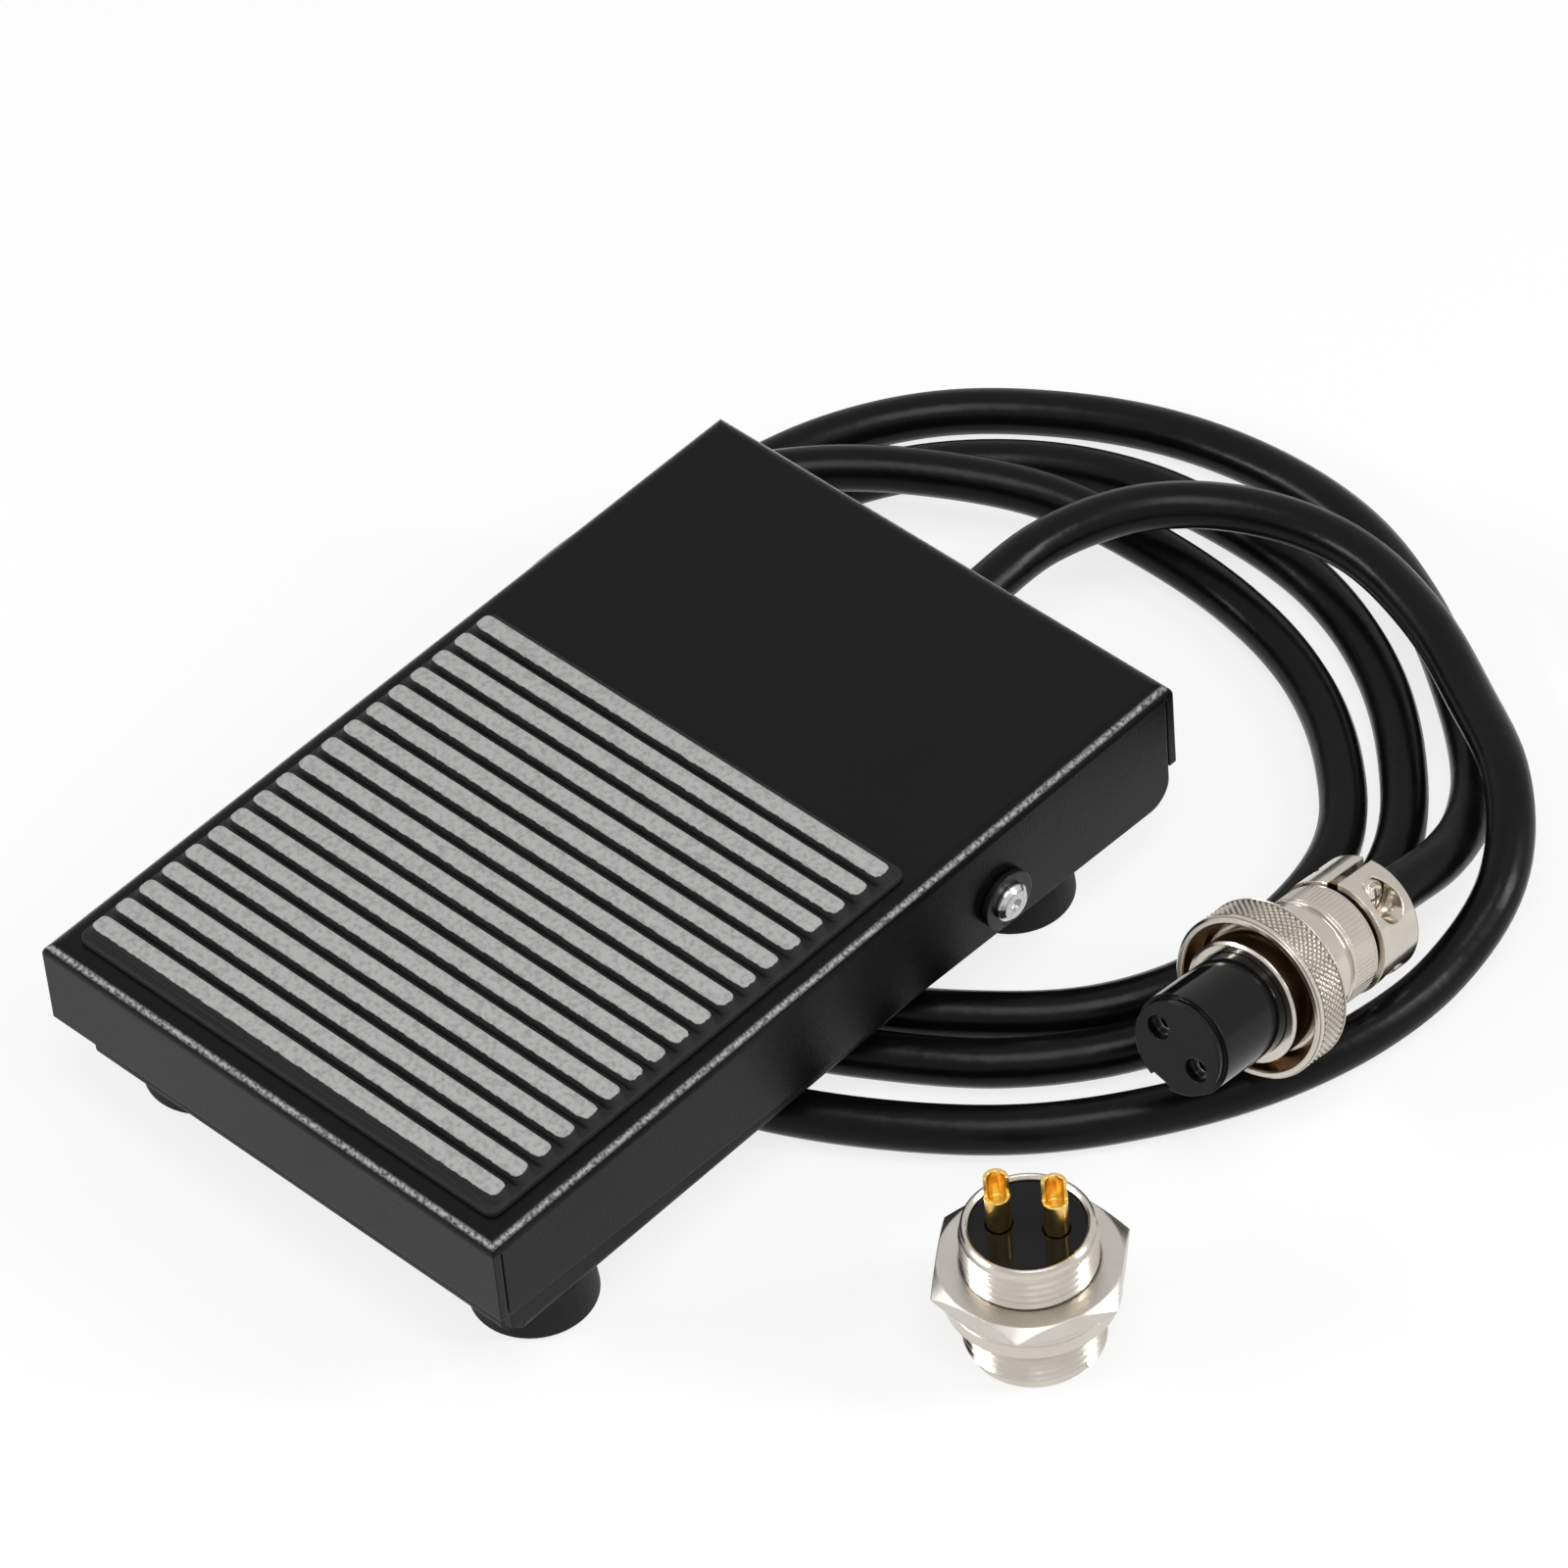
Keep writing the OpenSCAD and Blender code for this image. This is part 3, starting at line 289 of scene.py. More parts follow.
# %% Painted steel
cover_paint = make_finish("black_powder_coat", (0.003, 0.0031, 0.004), 0.27, tone=0.25,
                          patch=14 * MM, grain=0.24 * MM, depth=0.035 * MM,
                          rounding=0.3 * MM, shine=0.13)
tree = cover_paint.node_tree
colour = tree.nodes["Principled BSDF"].inputs["Base Color"]
speck = add_range(tree, add_noise(tree, 0.3 * MM, 1.5).outputs["Fac"], 0.68, 0.8, 0, 1)
link(tree, add_mix(tree, speck, colour.links[0].from_socket, (0.016, 0.0165, 0.018)), colour)
dress(["base_tray"], make_finish("tray_black", (0.006, 0.0062, 0.007), 0.5, tone=0.2,
                                 patch=10 * MM, grain=0.25 * MM, depth=0.02 * MM,
                                 shine=0.14))

# %% [markdown]
# The cover is bent from flat sheet, and a pale, grainy painted highlight runs
# round its four upper bends, where the light catches them. A point is on a bend
# if it is near a side of the cover's box and near its top, so the painted
# highlight is worked out from its place, and a noise breaks it into grains.

# %% Painted highlight on the bends
BEND_START = 0.9 * MM
BEND_FULL = 0.45 * MM
# colour of the painted highlight on the bends
BEND_HIGHLIGHT_PAINT = (0.46, 0.46, 0.465)
low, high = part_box("pedal_cover")
coords = tree.nodes.new("ShaderNodeTexCoord")
axes = tree.nodes.new("ShaderNodeSeparateXYZ")
link(tree, coords.outputs["Object"], axes.inputs[0])
outer = None
for axis, edge, inward in (("X", high.x, -1), ("X", low.x, 1), ("Y", low.y, 1),
                           ("Y", high.y, -1)):
    side = add_range(tree, axes.outputs[axis], edge + inward * BEND_START,
                     edge + inward * BEND_FULL, 0, 1)
    outer = side if outer is None else add_math(tree, "MAXIMUM", outer, side)
upper = add_range(tree, axes.outputs["Z"], high.z - 0.85 * MM, high.z - BEND_FULL, 0, 1)
grains = add_range(tree, add_noise(tree, 0.4 * MM, 3).outputs["Fac"], 0.36, 0.6, 0.1, 1)
bend_highlight_share = add_math(tree, "MULTIPLY", add_math(tree, "MULTIPLY", outer, upper), grains)
# painted highlight: pale grainy colour along the four upper bends
link(tree, add_mix(tree, bend_highlight_share, colour.links[0].from_socket, BEND_HIGHLIGHT_PAINT), colour)
dress(["pedal_cover"], cover_paint)

# %% [markdown]
# ## Plain metals
#
# Zinc, bright steel, black oxide, tinned brass, nickel and gold differ in colour
# and gloss, so each is one call. Nickel is warm and very bright, and zinc is
# bluish and duller.

# %% Plain metals
NICKEL_COLOUR = (0.62, 0.575, 0.51)
zinc = make_finish("zinc_steel", (0.6, 0.62, 0.64), 0.32, metallic=1, tone=0.1,
                   patch=3 * MM, grain=0.2 * MM, depth=0.004 * MM)
bright_steel = make_finish("polished_steel", (0.62, 0.62, 0.63), 0.16, metallic=1,
                           tone=0.25, patch=1.2 * MM, grain=0.5 * MM, depth=0.01 * MM,
                           rounding=0.3 * MM)
nickel = make_finish("nickel", NICKEL_COLOUR, 0.17, metallic=1, tone=0.12, patch=4 * MM,
                     grain=0.6 * MM, depth=0.006 * MM, rounding=0.2 * MM)
dress(["foot_screws", "foot_nuts", "spring_cups", "striker_button", "micro_bracket",
       "micro_screws", "micro_nuts", "bracket_screws", "cord_clamp_screws"], zinc)
dress(["axle"], bright_steel)
dress(["axle_clips"], make_finish("blackened_steel", (0.02, 0.02, 0.022), 0.3, metallic=0.6,
                                  grain=0.3 * MM, depth=0.006 * MM))
dress(["micro_lever"], make_finish("spring_steel", (0.56, 0.57, 0.58), 0.24, metallic=1,
                                   grain=0.15 * MM, depth=0.003 * MM, rounding=0.1 * MM))
dress(["micro_terminals"], make_finish("tag_brass", (0.66, 0.53, 0.3), 0.34, metallic=1,
                                       tone=0.2, patch=2 * MM, rounding=0.1 * MM))
dress(["plug_front_shell", "plug_rear_shell", "plug_clamp", "plug_clamp_screws",
       "socket_washer"], nickel)
dress(["plug_contacts"], make_finish("contact_silver", (0.6, 0.6, 0.6), 0.2, metallic=1,
                                     patch=1 * MM, rounding=0.1 * MM))
dress(["socket_nut"], make_finish("nut_nickel", (0.6, 0.57, 0.52), 0.3, metallic=1,
                                  tone=0.1, patch=3 * MM, grain=0.35 * MM,
                                  depth=0.012 * MM, rounding=0.35 * MM))
dress(["socket_pins"], make_finish("gold", (0.86, 0.6, 0.2), 0.2, metallic=1, tone=0.18,
                                   patch=1 * MM, grain=0.4 * MM, depth=0.008 * MM,
                                   rounding=0.15 * MM))

# %% [markdown]
# ## Plastics and rubber
#
# Moulded parts have no metal sheen. The plug's and the socket's insulators are
# glossy, the switch case and the clamp are matt, and the feet and the grommet
# are dull rubber with a coarser skin.

# %% Plastics and rubber
rubber = make_finish("rubber_black", (0.008, 0.008, 0.0085), 0.6, tone=0.25, patch=4 * MM,
                     grain=0.35 * MM, depth=0.02 * MM, rounding=0.4 * MM, shine=0.2)
glossy_black = make_finish("insert_black", (0.004, 0.004, 0.0044), 0.08, tone=0.3,
                           patch=3 * MM, grain=0.8 * MM, depth=0.004 * MM, shine=0.2)
clamp_nylon = make_finish("clamp_black", (0.03, 0.03, 0.033), 0.55, grain=0.3 * MM)
dress(["rubber_feet", "cable_grommet"], rubber)
dress(["plug_insert", "socket_insulator"], glossy_black)
dress(["cord_clamp_base", "cord_clamp_strap"], clamp_nylon)
dress(["micro_case"], make_finish("case_black", (0.025, 0.025, 0.027), 0.5, grain=0.2 * MM))
dress(["micro_lid"], make_finish("case_red", (0.28, 0.035, 0.025), 0.5, grain=0.2 * MM))
dress(["micro_plunger"], make_finish("plunger_ivory", (0.62, 0.52, 0.33), 0.4))
dress(["insulation_sheet"], make_finish("insulation_paper", (0.42, 0.3, 0.16), 0.8,
                                        tone=0.25, patch=1 * MM, grain=0.12 * MM,
                                        depth=0.02 * MM, rounding=0.05 * MM))

# %% [markdown]
# ## Cable jacket
#
# The cable's PVC jacket is black with a soft sheen and slight dents from being
# coiled. The finish is the same recipe with a longer, shallow wave, which breaks
# up the long highlights a little.

# %% Cable jacket
jacket = make_finish("cord_black", (0.003, 0.003, 0.0034), 0.28, tone=0.2, patch=9 * MM,
                     grain=2.2 * MM, depth=0.06 * MM, rounding=0.05 * MM, shine=0.14)
cable.data.materials.append(jacket)
print("jacket on the cable")

# %% [markdown]
# ## Working with operators
#
# Operators act on whatever is selected, so each step starts from nothing
# selected. Faces are picked by a test on their place and direction, which works
# the same way each time the notebook runs.

# %% Helpers for edit mode
def deselect():
    """Leaves edit mode and selects nothing."""
    if bpy.context.object and bpy.context.object.mode != "OBJECT":
        bpy.ops.object.mode_set(mode="OBJECT")
    bpy.ops.object.select_all(action="DESELECT")


def pick_faces(piece, test):
    """Selects, in edit mode, the faces for which test(centre, normal) is true."""
    bpy.ops.mesh.select_all(action="DESELECT")
    bpy.ops.mesh.select_mode(type="FACE")
    mesh = bmesh.from_edit_mesh(piece.data)
    picked = 0
    for face in mesh.faces:
        if test(face.calc_center_median(), face.normal):
            face.select_set(True)
            picked += 1
    mesh.select_flush_mode()
    bmesh.update_edit_mesh(piece.data)
    return picked


def pick_edges(piece, test):
    """Selects, in edit mode, the edges for which test(first, second) is true."""
    bpy.ops.mesh.select_all(action="DESELECT")
    bpy.ops.mesh.select_mode(type="EDGE")
    mesh = bmesh.from_edit_mesh(piece.data)
    picked = 0
    for edge in mesh.edges:
        if test(edge.verts[0].co, edge.verts[1].co):
            edge.select_set(True)
            picked += 1
    mesh.select_flush_mode()
    bmesh.update_edit_mesh(piece.data)
    return picked


def turned(name, profile, steps):
    """A turned piece: a closed profile of (radius, height) spun once round Z."""
    deselect()
    bpy.ops.mesh.primitive_plane_add(size=MM)
    piece = bpy.context.object
    piece.name = name
    bpy.ops.object.mode_set(mode="EDIT")
    bpy.ops.mesh.select_mode(type="VERT")
    bpy.ops.mesh.select_all(action="SELECT")
    bpy.ops.mesh.merge(type="CENTER")
    here = (0, 0)
    for place in profile + profile[:1]:
        step = (place[0] - here[0], 0, place[1] - here[1])
        if here == (0, 0):
            bpy.ops.transform.translate(value=step)
        else:
            bpy.ops.mesh.extrude_vertices_move(TRANSFORM_OT_translate={"value": step})
        here = place
    bpy.ops.mesh.select_all(action="SELECT")
    bpy.ops.mesh.spin(steps=steps, angle=math.tau, center=(0, 0, 0), axis=(0, 0, 1))
    bpy.ops.mesh.select_all(action="SELECT")
    bpy.ops.mesh.remove_doubles(threshold=0.001 * MM)
    bpy.ops.mesh.normals_make_consistent(inside=False)
    return piece


def settle(piece, body, replaced, material, smooth=35):
    """Ends a piece: its place goes into the mesh, then its finish and its body."""
    deselect()
    piece.select_set(True)
    bpy.context.view_layer.objects.active = piece
    bpy.ops.object.transform_apply(location=True, rotation=True, scale=True)
    bpy.ops.object.shade_smooth_by_angle(angle=math.radians(smooth))
    piece.data.materials.clear()
    piece.data.materials.append(material)
    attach(piece, body)
    if replaced:
        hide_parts(replaced)
    print(piece.name, "has", len(piece.data.polygons), "faces")


# %% [markdown]
# ## Rubber pad
#
# The pad is one moulding: a thin sheet with eighteen ribs across it, glued to
# the cover. Each rib is a bar with sloping flanks, and its ends run out in
# rounded tips. One rib is made from a cube, tapered and bevelled, then copied;
# the sheet gets the same treatment once.

# %% Sizes of the pad
pad_low, pad_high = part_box("pedal_pad")
RIB_COUNT = 18
RIB_TOP = 2.15 * MM
RIB_FOOT = 2.8 * MM
RIB_HEIGHT = 1.3 * MM
END_MARGIN = 1.0 * MM
RIB_SINK = 0.3 * MM
RIB_INSET = 0.3 * MM
RIB_END_SLOPE = 1.8 * MM
RIB_CORNER = 0.85 * MM
RIB_EDGE = 0.22 * MM
SHEET_CORNER = 1.2 * MM
SHEET_EDGE = 0.25 * MM
sheet_top = pad_high.z - RIB_HEIGHT
pad_length = pad_high.y - pad_low.y
pad_width = pad_high.x - pad_low.x
rib_pitch = (pad_length - 2 * END_MARGIN - RIB_FOOT) / (RIB_COUNT - 1)
print("rib pitch", round(rib_pitch / MM, 3), "mm")

# %% One rib
deselect()
first_y = pad_low.y + END_MARGIN + RIB_FOOT / 2
bpy.ops.mesh.primitive_cube_add(size=1, location=(0, 0, 0))
rib = bpy.context.object
rib.name = "pad_rib"
rib.scale = (pad_width - RIB_INSET, RIB_FOOT, RIB_HEIGHT + RIB_SINK)
rib.location = (0, first_y, sheet_top - RIB_SINK + (RIB_HEIGHT + RIB_SINK) / 2)
bpy.ops.object.transform_apply(location=True, rotation=False, scale=True)
bpy.ops.object.mode_set(mode="EDIT")
pick_edges(rib, lambda p, q: abs(p.z - q.z) > RIB_HEIGHT)
bpy.ops.mesh.bevel(offset=RIB_CORNER, segments=4, affect="EDGES")
pick_faces(rib, lambda centre, normal: normal.z > 0.9)
bpy.ops.transform.resize(value=(1 - RIB_END_SLOPE / pad_width, RIB_TOP / RIB_FOOT, 1))
pick_edges(rib, lambda p, q: min(p.z, q.z) > pad_high.z - 0.01 * MM)
bpy.ops.mesh.bevel(offset=RIB_EDGE, segments=3, affect="EDGES")
bpy.ops.object.mode_set(mode="OBJECT")
print("rib faces:", len(rib.data.polygons))

# %% The sheet under the ribs, and all the ribs
ribs = [rib]
for number in range(1, RIB_COUNT):
    deselect()
    rib.select_set(True)
    bpy.context.view_layer.objects.active = rib
    bpy.ops.object.duplicate(linked=False)
    copy = bpy.context.object
    copy.location.y += number * rib_pitch
    ribs.append(copy)
deselect()
bpy.ops.mesh.primitive_cube_add(size=1, location=(
    0, (pad_low.y + pad_high.y) / 2, (pad_low.z + sheet_top) / 2))
pad = bpy.context.object
pad.name = "pad_moulding"
pad.scale = (pad_width, pad_length, sheet_top - pad_low.z)
bpy.ops.object.transform_apply(location=True, rotation=False, scale=True)
bpy.ops.object.mode_set(mode="EDIT")
pick_edges(pad, lambda p, q: abs(p.z - q.z) > 0.5 * MM)
bpy.ops.mesh.bevel(offset=SHEET_CORNER, segments=4, affect="EDGES")
pick_edges(pad, lambda p, q: min(p.z, q.z) > sheet_top - 0.01 * MM)
bpy.ops.mesh.bevel(offset=SHEET_EDGE, segments=2, affect="EDGES")
bpy.ops.object.mode_set(mode="OBJECT")
deselect()
for part in ribs + [pad]:
    part.select_set(True)
bpy.context.view_layer.objects.active = pad
bpy.ops.object.join()
print("pad joined from", len(ribs), "ribs and a sheet")

# %% [markdown]
# The rubber is black where no shoe reaches, and worn pale and grainy on the
# ribs. The wear follows height, broken up by noise: the higher a point lies, the
# more the pale colour shows, and a noise eats into its border.

# %% Worn rubber
WORN_LIGHT = (0.39, 0.386, 0.38)
WORN_DARK = (0.28, 0.277, 0.272)
pad_rubber = make_finish("pad_rubber", (0.018, 0.018, 0.0195), 0.6, tone=0.3, patch=3 * MM,
                         grain=0.3 * MM, depth=0.04 * MM, rounding=0.2 * MM, shine=0.15)
tree = pad_rubber.node_tree
colour = tree.nodes["Principled BSDF"].inputs["Base Color"]
coords = tree.nodes.new("ShaderNodeTexCoord")
axes = tree.nodes.new("ShaderNodeSeparateXYZ")
link(tree, coords.outputs["Object"], axes.inputs[0])
height = add_range(tree, axes.outputs["Z"], pad_high.z - 0.3 * MM, pad_high.z - 0.04 * MM, 0, 1)
eaten = add_range(tree, add_noise(tree, 0.7 * MM, 4).outputs["Fac"], 0.3, 0.65, 0, 0.55)
worn_share = add_range(tree, add_math(tree, "SUBTRACT", height, eaten), 0.05, 0.3, 0, 1)
stain = add_noise(tree, 0.6 * MM, 8)
stain_share = add_range(tree, stain.outputs["Fac"], 0.33, 0.56, 0, 1)
worn_colour = add_mix(tree, stain_share, WORN_DARK, WORN_LIGHT)
link(tree, add_mix(tree, worn_share, colour.links[0].from_socket, worn_colour), colour)
settle(pad, "pedal", "pedal_pad", pad_rubber, smooth=50)

# %% [markdown]
# ## Coupling ring
#
# The ring screws the plug to its socket, and its knurl gives the fingers a hold.
# A turned ring with a band of square faces is the start. Poking every square
# and joining the triangles across the old edges turns the squares into diamonds,
# and an inset that rises makes each diamond a small stud.

# %% The plug's axis
spin_joint = [j for j in frame["record"]["behaviour"]["joints"]
              if j["name"] == "coupling_ring_spin"][0]
plug_place = Vector(spin_joint["pos_m"])
plug_forward = Vector(spin_joint["axis"])
plug_frame = (Matrix.Translation(plug_place)
              @ plug_forward.to_track_quat("Z", "Y").to_matrix().to_4x4())
print("plug axis", [round(c, 3) for c in plug_forward])

# %% Knurled ring
RING_R = 9.5 * MM
KNURL_R = RING_R - 0.14 * MM
MOUTH_R = 8.55 * MM
THREAD_R = 7.8 * MM
BACK_R = 7.1 * MM
STUD_GAP = 0.2 * MM
STUD_RISE = 0.14 * MM
ring_profile = [(BACK_R, -2.5 * MM), (RING_R - 0.4 * MM, -2.5 * MM), (RING_R, -2.1 * MM),
                (KNURL_R, -2.0 * MM), (KNURL_R, -1.25 * MM), (KNURL_R, -0.5 * MM),
                (KNURL_R, 0.25 * MM), (KNURL_R, 1.0 * MM), (KNURL_R, 1.75 * MM),
                (RING_R, 1.85 * MM), (RING_R, 2.2 * MM), (RING_R - 0.3 * MM, 2.5 * MM),
                (MOUTH_R + 0.2 * MM, 2.5 * MM), (MOUTH_R, 2.3 * MM),
                (THREAD_R + 0.1 * MM, 0.2 * MM), (THREAD_R, -1.5 * MM), (BACK_R, -1.5 * MM)]
ring = turned("ring_knurled", ring_profile, 76)


def on_band(centre, normal):
    """True for the faces of the knurled band."""
    out = math.hypot(centre.x, centre.y)
    return out > KNURL_R - 0.1 * MM and abs(normal.z) < 0.2 and -2 * MM < centre.z < 1.75 * MM


pick_faces(ring, on_band)
bpy.ops.mesh.poke()
pick_faces(ring, on_band)
bpy.ops.mesh.tris_convert_to_quads(face_threshold=math.radians(60),
                                   shape_threshold=math.radians(60))
studs = pick_faces(ring, on_band)
bpy.ops.mesh.inset(use_individual=True, thickness=STUD_GAP, depth=STUD_RISE)
bpy.ops.object.mode_set(mode="OBJECT")
ring.matrix_world = plug_frame
print("studs on the ring:", studs)

# %% [markdown]
# Nickel on the ring is bright outside, and the valleys between the studs are
# darker. Inside the mouth, a painted reflection of its own brown, oiled thread
# tints the wall. Both follow the distance from the plug's axis, which a Mapping
# node brings to the origin.

# %% Ring finish
THREAD_REFLECTION_BROWN = (0.36, 0.235, 0.12)
VALLEY_DARK = (0.2, 0.17, 0.13)
ring_nickel = make_finish("ring_nickel", NICKEL_COLOUR, 0.2, metallic=1, tone=0.1,
                          patch=3 * MM, grain=0.5 * MM, depth=0.008 * MM,
                          rounding=0.12 * MM)
tree = ring_nickel.node_tree
colour = tree.nodes["Principled BSDF"].inputs["Base Color"]
coords = tree.nodes.new("ShaderNodeTexCoord")
mapping = tree.nodes.new("ShaderNodeMapping")
mapping.vector_type = "POINT"
back = plug_frame.inverted()
mapping.inputs["Location"].default_value = back.to_translation()
mapping.inputs["Rotation"].default_value = back.to_euler()
link(tree, coords.outputs["Object"], mapping.inputs["Vector"])
axes = tree.nodes.new("ShaderNodeSeparateXYZ")
link(tree, mapping.outputs[0], axes.inputs[0])
across = add_math(tree, "SQRT", add_math(
    tree, "ADD", add_math(tree, "MULTIPLY", axes.outputs["X"], axes.outputs["X"]),
    add_math(tree, "MULTIPLY", axes.outputs["Y"], axes.outputs["Y"])))
inside = add_range(tree, across, MOUTH_R + 0.02 * MM, MOUTH_R + 0.15 * MM, 1, 0)
# painted reflection: the wall inside the mouth takes the brown of the oiled thread
reflection_tinted = add_mix(tree, inside, colour.links[0].from_socket, THREAD_REFLECTION_BROWN)
# the valleys between the studs are darker
groove = add_math(tree, "MULTIPLY",
                  add_range(tree, across, KNURL_R - 0.08 * MM, KNURL_R - 0.04 * MM, 0, 1),
                  add_range(tree, across, KNURL_R + 0.01 * MM, KNURL_R + 0.1 * MM, 0.8, 0))
link(tree, add_mix(tree, groove, reflection_tinted, VALLEY_DARK), colour)
settle(ring, "coupling_ring", "coupling_ring", ring_nickel, smooth=25)

# %% [markdown]
# ## Rear shell
#
# The shell behind the ring is a true solid already. The fine flutes that give it
# a grip are a thin turned band over it: every other of its narrow faces is inset
# and raised, which makes a ridge of it.

# %% Fluted band
FLUTES = 78
GRIP_R = 6.5 * MM
RIDGE_GAP = 0.05 * MM
RIDGE_RISE = 0.06 * MM
BAND_FOOT = GRIP_R - 0.1 * MM
BAND_TOP = GRIP_R + 0.015 * MM
flutes = turned("shell_flutes", [(BAND_FOOT, -11.8 * MM), (BAND_TOP, -11.7 * MM),
                                 (BAND_TOP, -8.3 * MM), (BAND_FOOT, -8.2 * MM)], 2 * FLUTES)


def on_ridge(centre, normal):
    """True for every other outer face round the band."""
    number = math.floor(math.atan2(centre.y, centre.x) / (math.pi / FLUTES))
    outer = math.hypot(centre.x, centre.y) > GRIP_R and abs(normal.z) < 0.1
    return outer and number % 2 == 0


ridges = pick_faces(flutes, on_ridge)
bpy.ops.mesh.inset(use_individual=True, thickness=RIDGE_GAP, depth=RIDGE_RISE)
bpy.ops.object.mode_set(mode="OBJECT")
flutes.matrix_world = plug_frame
settle(flutes, "base", None, nickel, smooth=20)
print("flutes:", ridges)

# %% [markdown]
# The cable is a free cord that ends in the plug.

# %% [markdown]
# ## Socket body
#
# The panel socket is threaded at both ends. A real thread is a ridge that
# climbs as it goes round, so a triangle is drawn once and the Screw modifier
# sweeps it up the body. The body itself is turned, a little slimmer than the
# thread, with its flange.

# %% Socket body
shell_low, shell_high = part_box("socket_shell")
socket_x = (shell_low.x + shell_high.x) / 2
socket_y = (shell_low.y + shell_high.y) / 2
foot_z = shell_low.z
CREST_R = 7.6 * MM
REAR_CREST_R = 7.3 * MM
THREAD_DEPTH = 0.45 * MM
THREAD_PITCH = 1.0 * MM
RIDGE_HALF = 0.42 * MM
BORE_R = 6.2 * MM
FLANGE_R = 9.4 * MM
FLANGE_Z = 7.2 * MM
FLANGE_TOP = 9.3 * MM
BODY_TOP = 18.0 * MM
root_r = CREST_R - THREAD_DEPTH
rear_root_r = REAR_CREST_R - THREAD_DEPTH
body = turned("socket_body", [
    (BORE_R, 0.35 * MM), (BORE_R + 0.35 * MM, 0), (root_r - 0.2 * MM, 0), (root_r, 0.3 * MM),
    (root_r, FLANGE_Z), (FLANGE_R - 0.25 * MM, FLANGE_Z), (FLANGE_R, FLANGE_Z + 0.25 * MM),
    (FLANGE_R, FLANGE_TOP - 0.15 * MM), (FLANGE_R - 0.15 * MM, FLANGE_TOP),
    (rear_root_r, FLANGE_TOP), (rear_root_r, BODY_TOP - 1.3 * MM),
    (REAR_CREST_R - 0.25 * MM, BODY_TOP - 1.1 * MM),
    (REAR_CREST_R - 0.25 * MM, BODY_TOP - 0.3 * MM),
    (REAR_CREST_R - 0.55 * MM, BODY_TOP), (BORE_R + 0.3 * MM, BODY_TOP),
    (BORE_R, BODY_TOP - 0.3 * MM)], 72)
bpy.ops.object.mode_set(mode="OBJECT")
body.location = (socket_x, socket_y, foot_z)
print("socket body turned")


# %% Threads
def thread(name, crest, start, turns):
    """A helical ridge round Z from height start, with closed ends."""
    deselect()
    bpy.ops.mesh.primitive_circle_add(vertices=3, radius=THREAD_DEPTH)
    ridge = bpy.context.object
    ridge.name = name
    bpy.ops.object.mode_set(mode="EDIT")
    bpy.ops.mesh.select_all(action="SELECT")
    bpy.ops.transform.rotate(value=math.radians(90), orient_axis="X", center_override=(0, 0, 0))
    mesh = bmesh.from_edit_mesh(ridge.data)
    inner = crest - THREAD_DEPTH - 0.05 * MM
    section = ((inner, -RIDGE_HALF), (crest, 0), (inner, RIDGE_HALF))
    for vertex, (out, rise) in zip(mesh.verts, section):
        vertex.co = (out, 0, start + rise)
    bmesh.update_edit_mesh(ridge.data)
    bpy.ops.object.mode_set(mode="OBJECT")
    screw = ridge.modifiers.new("climb", "SCREW")
    screw.steps = screw.render_steps = 48
    screw.iterations = turns
    screw.screw_offset = THREAD_PITCH
    screw.axis = "Z"
    bpy.ops.object.modifier_apply(modifier="climb")
    bpy.ops.object.mode_set(mode="EDIT")
    bpy.ops.mesh.select_all(action="DESELECT")
    bpy.ops.mesh.select_mode(type="EDGE")
    bpy.ops.mesh.select_non_manifold()
    bpy.ops.mesh.fill()
    bpy.ops.mesh.select_all(action="SELECT")
    bpy.ops.mesh.remove_doubles(threshold=0.001 * MM)
    bpy.ops.mesh.normals_make_consistent(inside=False)
    bpy.ops.object.mode_set(mode="OBJECT")
    ridge.location = (socket_x, socket_y, foot_z)
    return ridge


front_ridge = thread("front_thread", CREST_R, 0.8 * MM, 6)
rear_ridge = thread("rear_thread", REAR_CREST_R, FLANGE_TOP + 0.6 * MM, 7)
deselect()
for part in (front_ridge, rear_ridge, body):
    part.select_set(True)
bpy.context.view_layer.objects.active = body
bpy.ops.object.join()
settle(body, "base", "socket_shell", nickel, smooth=30)
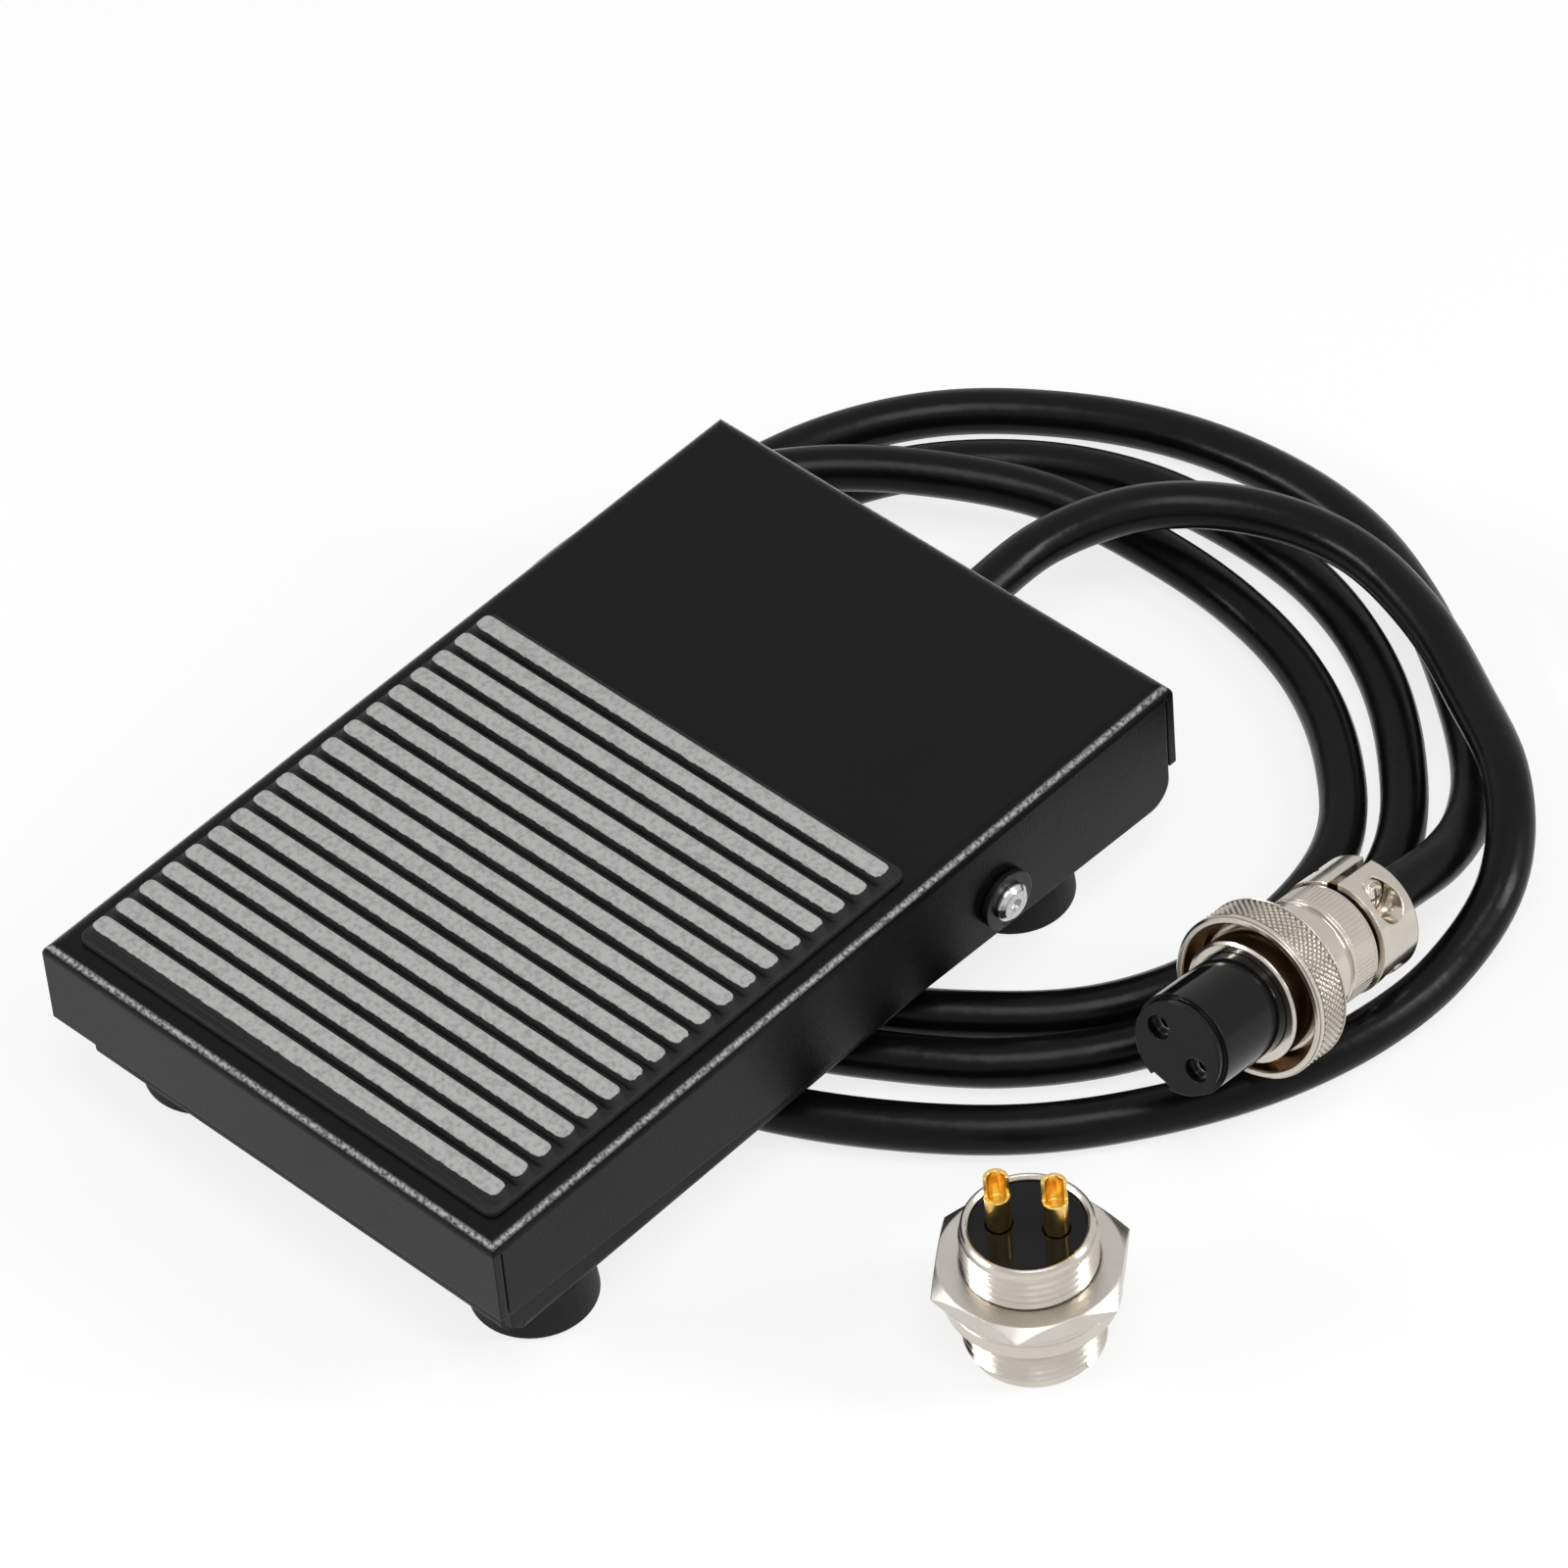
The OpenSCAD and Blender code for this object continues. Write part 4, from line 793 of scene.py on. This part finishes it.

# %% [markdown]
# ## Return springs
#
# Two compression springs lift the pedal. Wire wound at an even pitch is the
# Screw modifier again, here on a small circle.

# %% Return springs
spring_low, spring_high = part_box("return_springs")
WIRE_R = 0.45 * MM
SPRING_TURNS = 5
end_turn_z = spring_low.z + 1.1 * WIRE_R
coil_r = (spring_high.y - spring_low.y) / 2 - WIRE_R
spring_y = (spring_low.y + spring_high.y) / 2
spring_x = spring_high.x - coil_r - WIRE_R
steel_wire = make_finish("spring_wire", (0.55, 0.56, 0.57), 0.3, metallic=1,
                         grain=0.2 * MM, depth=0.004 * MM, rounding=0.05 * MM)
pair = []
for side in (-1, 1):
    deselect()
    bpy.ops.mesh.primitive_circle_add(vertices=10, radius=WIRE_R)
    spring = bpy.context.object
    spring.name = "spring_left" if side < 0 else "spring_right"
    bpy.ops.object.mode_set(mode="EDIT")
    bpy.ops.mesh.select_all(action="SELECT")
    bpy.ops.transform.rotate(value=math.radians(90), orient_axis="X", center_override=(0, 0, 0))
    bpy.ops.transform.translate(value=(coil_r, 0, 0))
    bpy.ops.object.mode_set(mode="OBJECT")
    screw = spring.modifiers.new("wind", "SCREW")
    screw.steps = screw.render_steps = 32
    screw.iterations = SPRING_TURNS
    screw.screw_offset = (spring_high.z - spring_low.z - 2.2 * WIRE_R) / SPRING_TURNS
    bpy.ops.object.modifier_apply(modifier="wind")
    bpy.ops.object.mode_set(mode="EDIT")
    bpy.ops.mesh.select_all(action="DESELECT")
    bpy.ops.mesh.select_mode(type="EDGE")
    bpy.ops.mesh.select_non_manifold()
    bpy.ops.mesh.fill()
    bpy.ops.mesh.select_all(action="SELECT")
    bpy.ops.mesh.normals_make_consistent(inside=False)
    bpy.ops.object.mode_set(mode="OBJECT")
    spring.location = (side * spring_x, spring_y, end_turn_z)
    pair.append(spring)
deselect()
for spring in pair:
    spring.select_set(True)
springs = pair[0]
bpy.context.view_layer.objects.active = springs
bpy.ops.object.join()
springs.name = "springs_wound"
settle(springs, "base", "return_springs", steel_wire, smooth=60)
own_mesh(springs)

# %% [markdown]
# ## Core wires
#
# Inside the tray, the cable's two cores run under the axle to the switch's tags.
# They are thin flexible leads, so they are curves like the cable itself.

# %% Core wires
core_red = make_finish("wire_red", (0.36, 0.035, 0.03), 0.4, rounding=0.05 * MM)
core_paths = [
    [(0.0012, 0.0345, 0.0063), (0.001, 0.0325, 0.0052), (0.0006, 0.0295, 0.0034),
     (0, 0.0265, 0.003), (-0.002, 0.0205, 0.003), (-0.005, 0.014, 0.003),
     (-0.0064, 0.008, 0.003)],
    [(-0.0012, 0.0345, 0.0063), (-0.0016, 0.0325, 0.0052), (-0.0024, 0.0295, 0.0034),
     (-0.0036, 0.0265, 0.003), (-0.0064, 0.0205, 0.003), (-0.009, 0.014, 0.003),
     (-0.01, 0.008, 0.003), (-0.0096, 0.004, 0.003), (-0.0076, 0.0008, 0.003)]]
cores = [round_wire(f"core_{number}", path, 1.8 * MM, lowest=0.003)
         for number, path in enumerate(core_paths)]
for core in cores:
    core.data.materials.append(core_red)
    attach(core, "base")
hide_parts("core_wires")
print("cores:", len(cores))

# %% [markdown]
# ## Studio
#
# A white floor, a white surround and soft lamps from above, from the right and
# from the front. The surround is bright only for the camera and in reflections,
# through Light Path, so it doesn't flood the black paint with light. The floor
# is partly plain white to the camera, which keeps a soft shadow under the pedal.

# %% Studio
FLOOR_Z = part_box("rubber_feet")[0].z
SURROUND_LIGHT = 0.3
SHADOWLESS_SHARE = 0.8


def seen_or_mirrored(tree, path):
    """1 for what the camera sees straight, in a reflection or through glass."""
    mirrored = add_math(tree, "MAXIMUM", path.outputs["Is Camera Ray"],
                        path.outputs["Is Glossy Ray"])
    return add_math(tree, "MAXIMUM", mirrored, path.outputs["Is Transmission Ray"])


world = bpy.data.worlds.new("studio")
bpy.context.scene.world = world
world.use_nodes = True
sky = world.node_tree
soft = sky.nodes["Background"]
soft.inputs["Color"].default_value = (1, 1, 1, 1)
soft.inputs["Strength"].default_value = SURROUND_LIGHT
bright = sky.nodes.new("ShaderNodeBackground")
bright.inputs["Strength"].default_value = 1.0
sky_path = sky.nodes.new("ShaderNodeLightPath")
sky_mix = sky.nodes.new("ShaderNodeMixShader")
link(sky, seen_or_mirrored(sky, sky_path), sky_mix.inputs["Fac"])
link(sky, soft.outputs[0], sky_mix.inputs[1])
link(sky, bright.outputs[0], sky_mix.inputs[2])
link(sky, sky_mix.outputs[0], sky.nodes["World Output"].inputs["Surface"])
print("surround at", SURROUND_LIGHT)

# %% Floor
deselect()
bpy.ops.mesh.primitive_plane_add(size=6, location=(0, 0, FLOOR_Z))
floor = bpy.context.object
floor.name = "studio_floor"
floor_paint = bpy.data.materials.new("floor_white")
floor_paint.use_nodes = True
tree = floor_paint.node_tree
paint = tree.nodes["Principled BSDF"]
paint.inputs["Base Color"].default_value = (0.9, 0.9, 0.9, 1)
paint.inputs["Roughness"].default_value = 0.9
paint.inputs["Specular IOR Level"].default_value = 0.1
white = tree.nodes.new("ShaderNodeEmission")
floor_path = tree.nodes.new("ShaderNodeLightPath")
share = add_math(tree, "MULTIPLY", seen_or_mirrored(tree, floor_path), SHADOWLESS_SHARE)
floor_mix = tree.nodes.new("ShaderNodeMixShader")
link(tree, share, floor_mix.inputs["Fac"])
link(tree, paint.outputs[0], floor_mix.inputs[1])
link(tree, white.outputs[0], floor_mix.inputs[2])
link(tree, floor_mix.outputs[0], tree.nodes["Material Output"].inputs["Surface"])
floor.data.materials.append(floor_paint)
print("floor at", round(FLOOR_Z / MM, 2), "mm")


# %% Lamps
def soft_lamp(name, place, aim, width, height, watts):
    """A rectangular soft lamp at place that points at aim."""
    lamp_data = bpy.data.lights.new(name, "AREA")
    lamp_data.shape = "RECTANGLE"
    lamp_data.size = width
    lamp_data.size_y = height
    lamp_data.energy = watts
    lamp = bpy.data.objects.new(name, lamp_data)
    bpy.context.scene.collection.objects.link(lamp)
    lamp.location = place
    lamp.rotation_euler = (Vector(place) - Vector(aim)).to_track_quat("Z", "Y").to_euler()
    return lamp


soft_lamp("top_softbox", (0.3, -0.15, 0.9), (0, 0.02, 0), 0.5, 0.5, 4)
soft_lamp("right_strip", (0.68, 0.47, 0.5), (0, 0.02, 0), 0.08, 0.5, 4)
soft_lamp("front_strip", (-0.48, -0.66, 0.46), (0, 0.0, 0), 0.5, 0.08, 4)
print("lamps: 3")

# %% View transform
bpy.context.scene.view_settings.view_transform = "Standard"
bpy.context.view_layer.update()
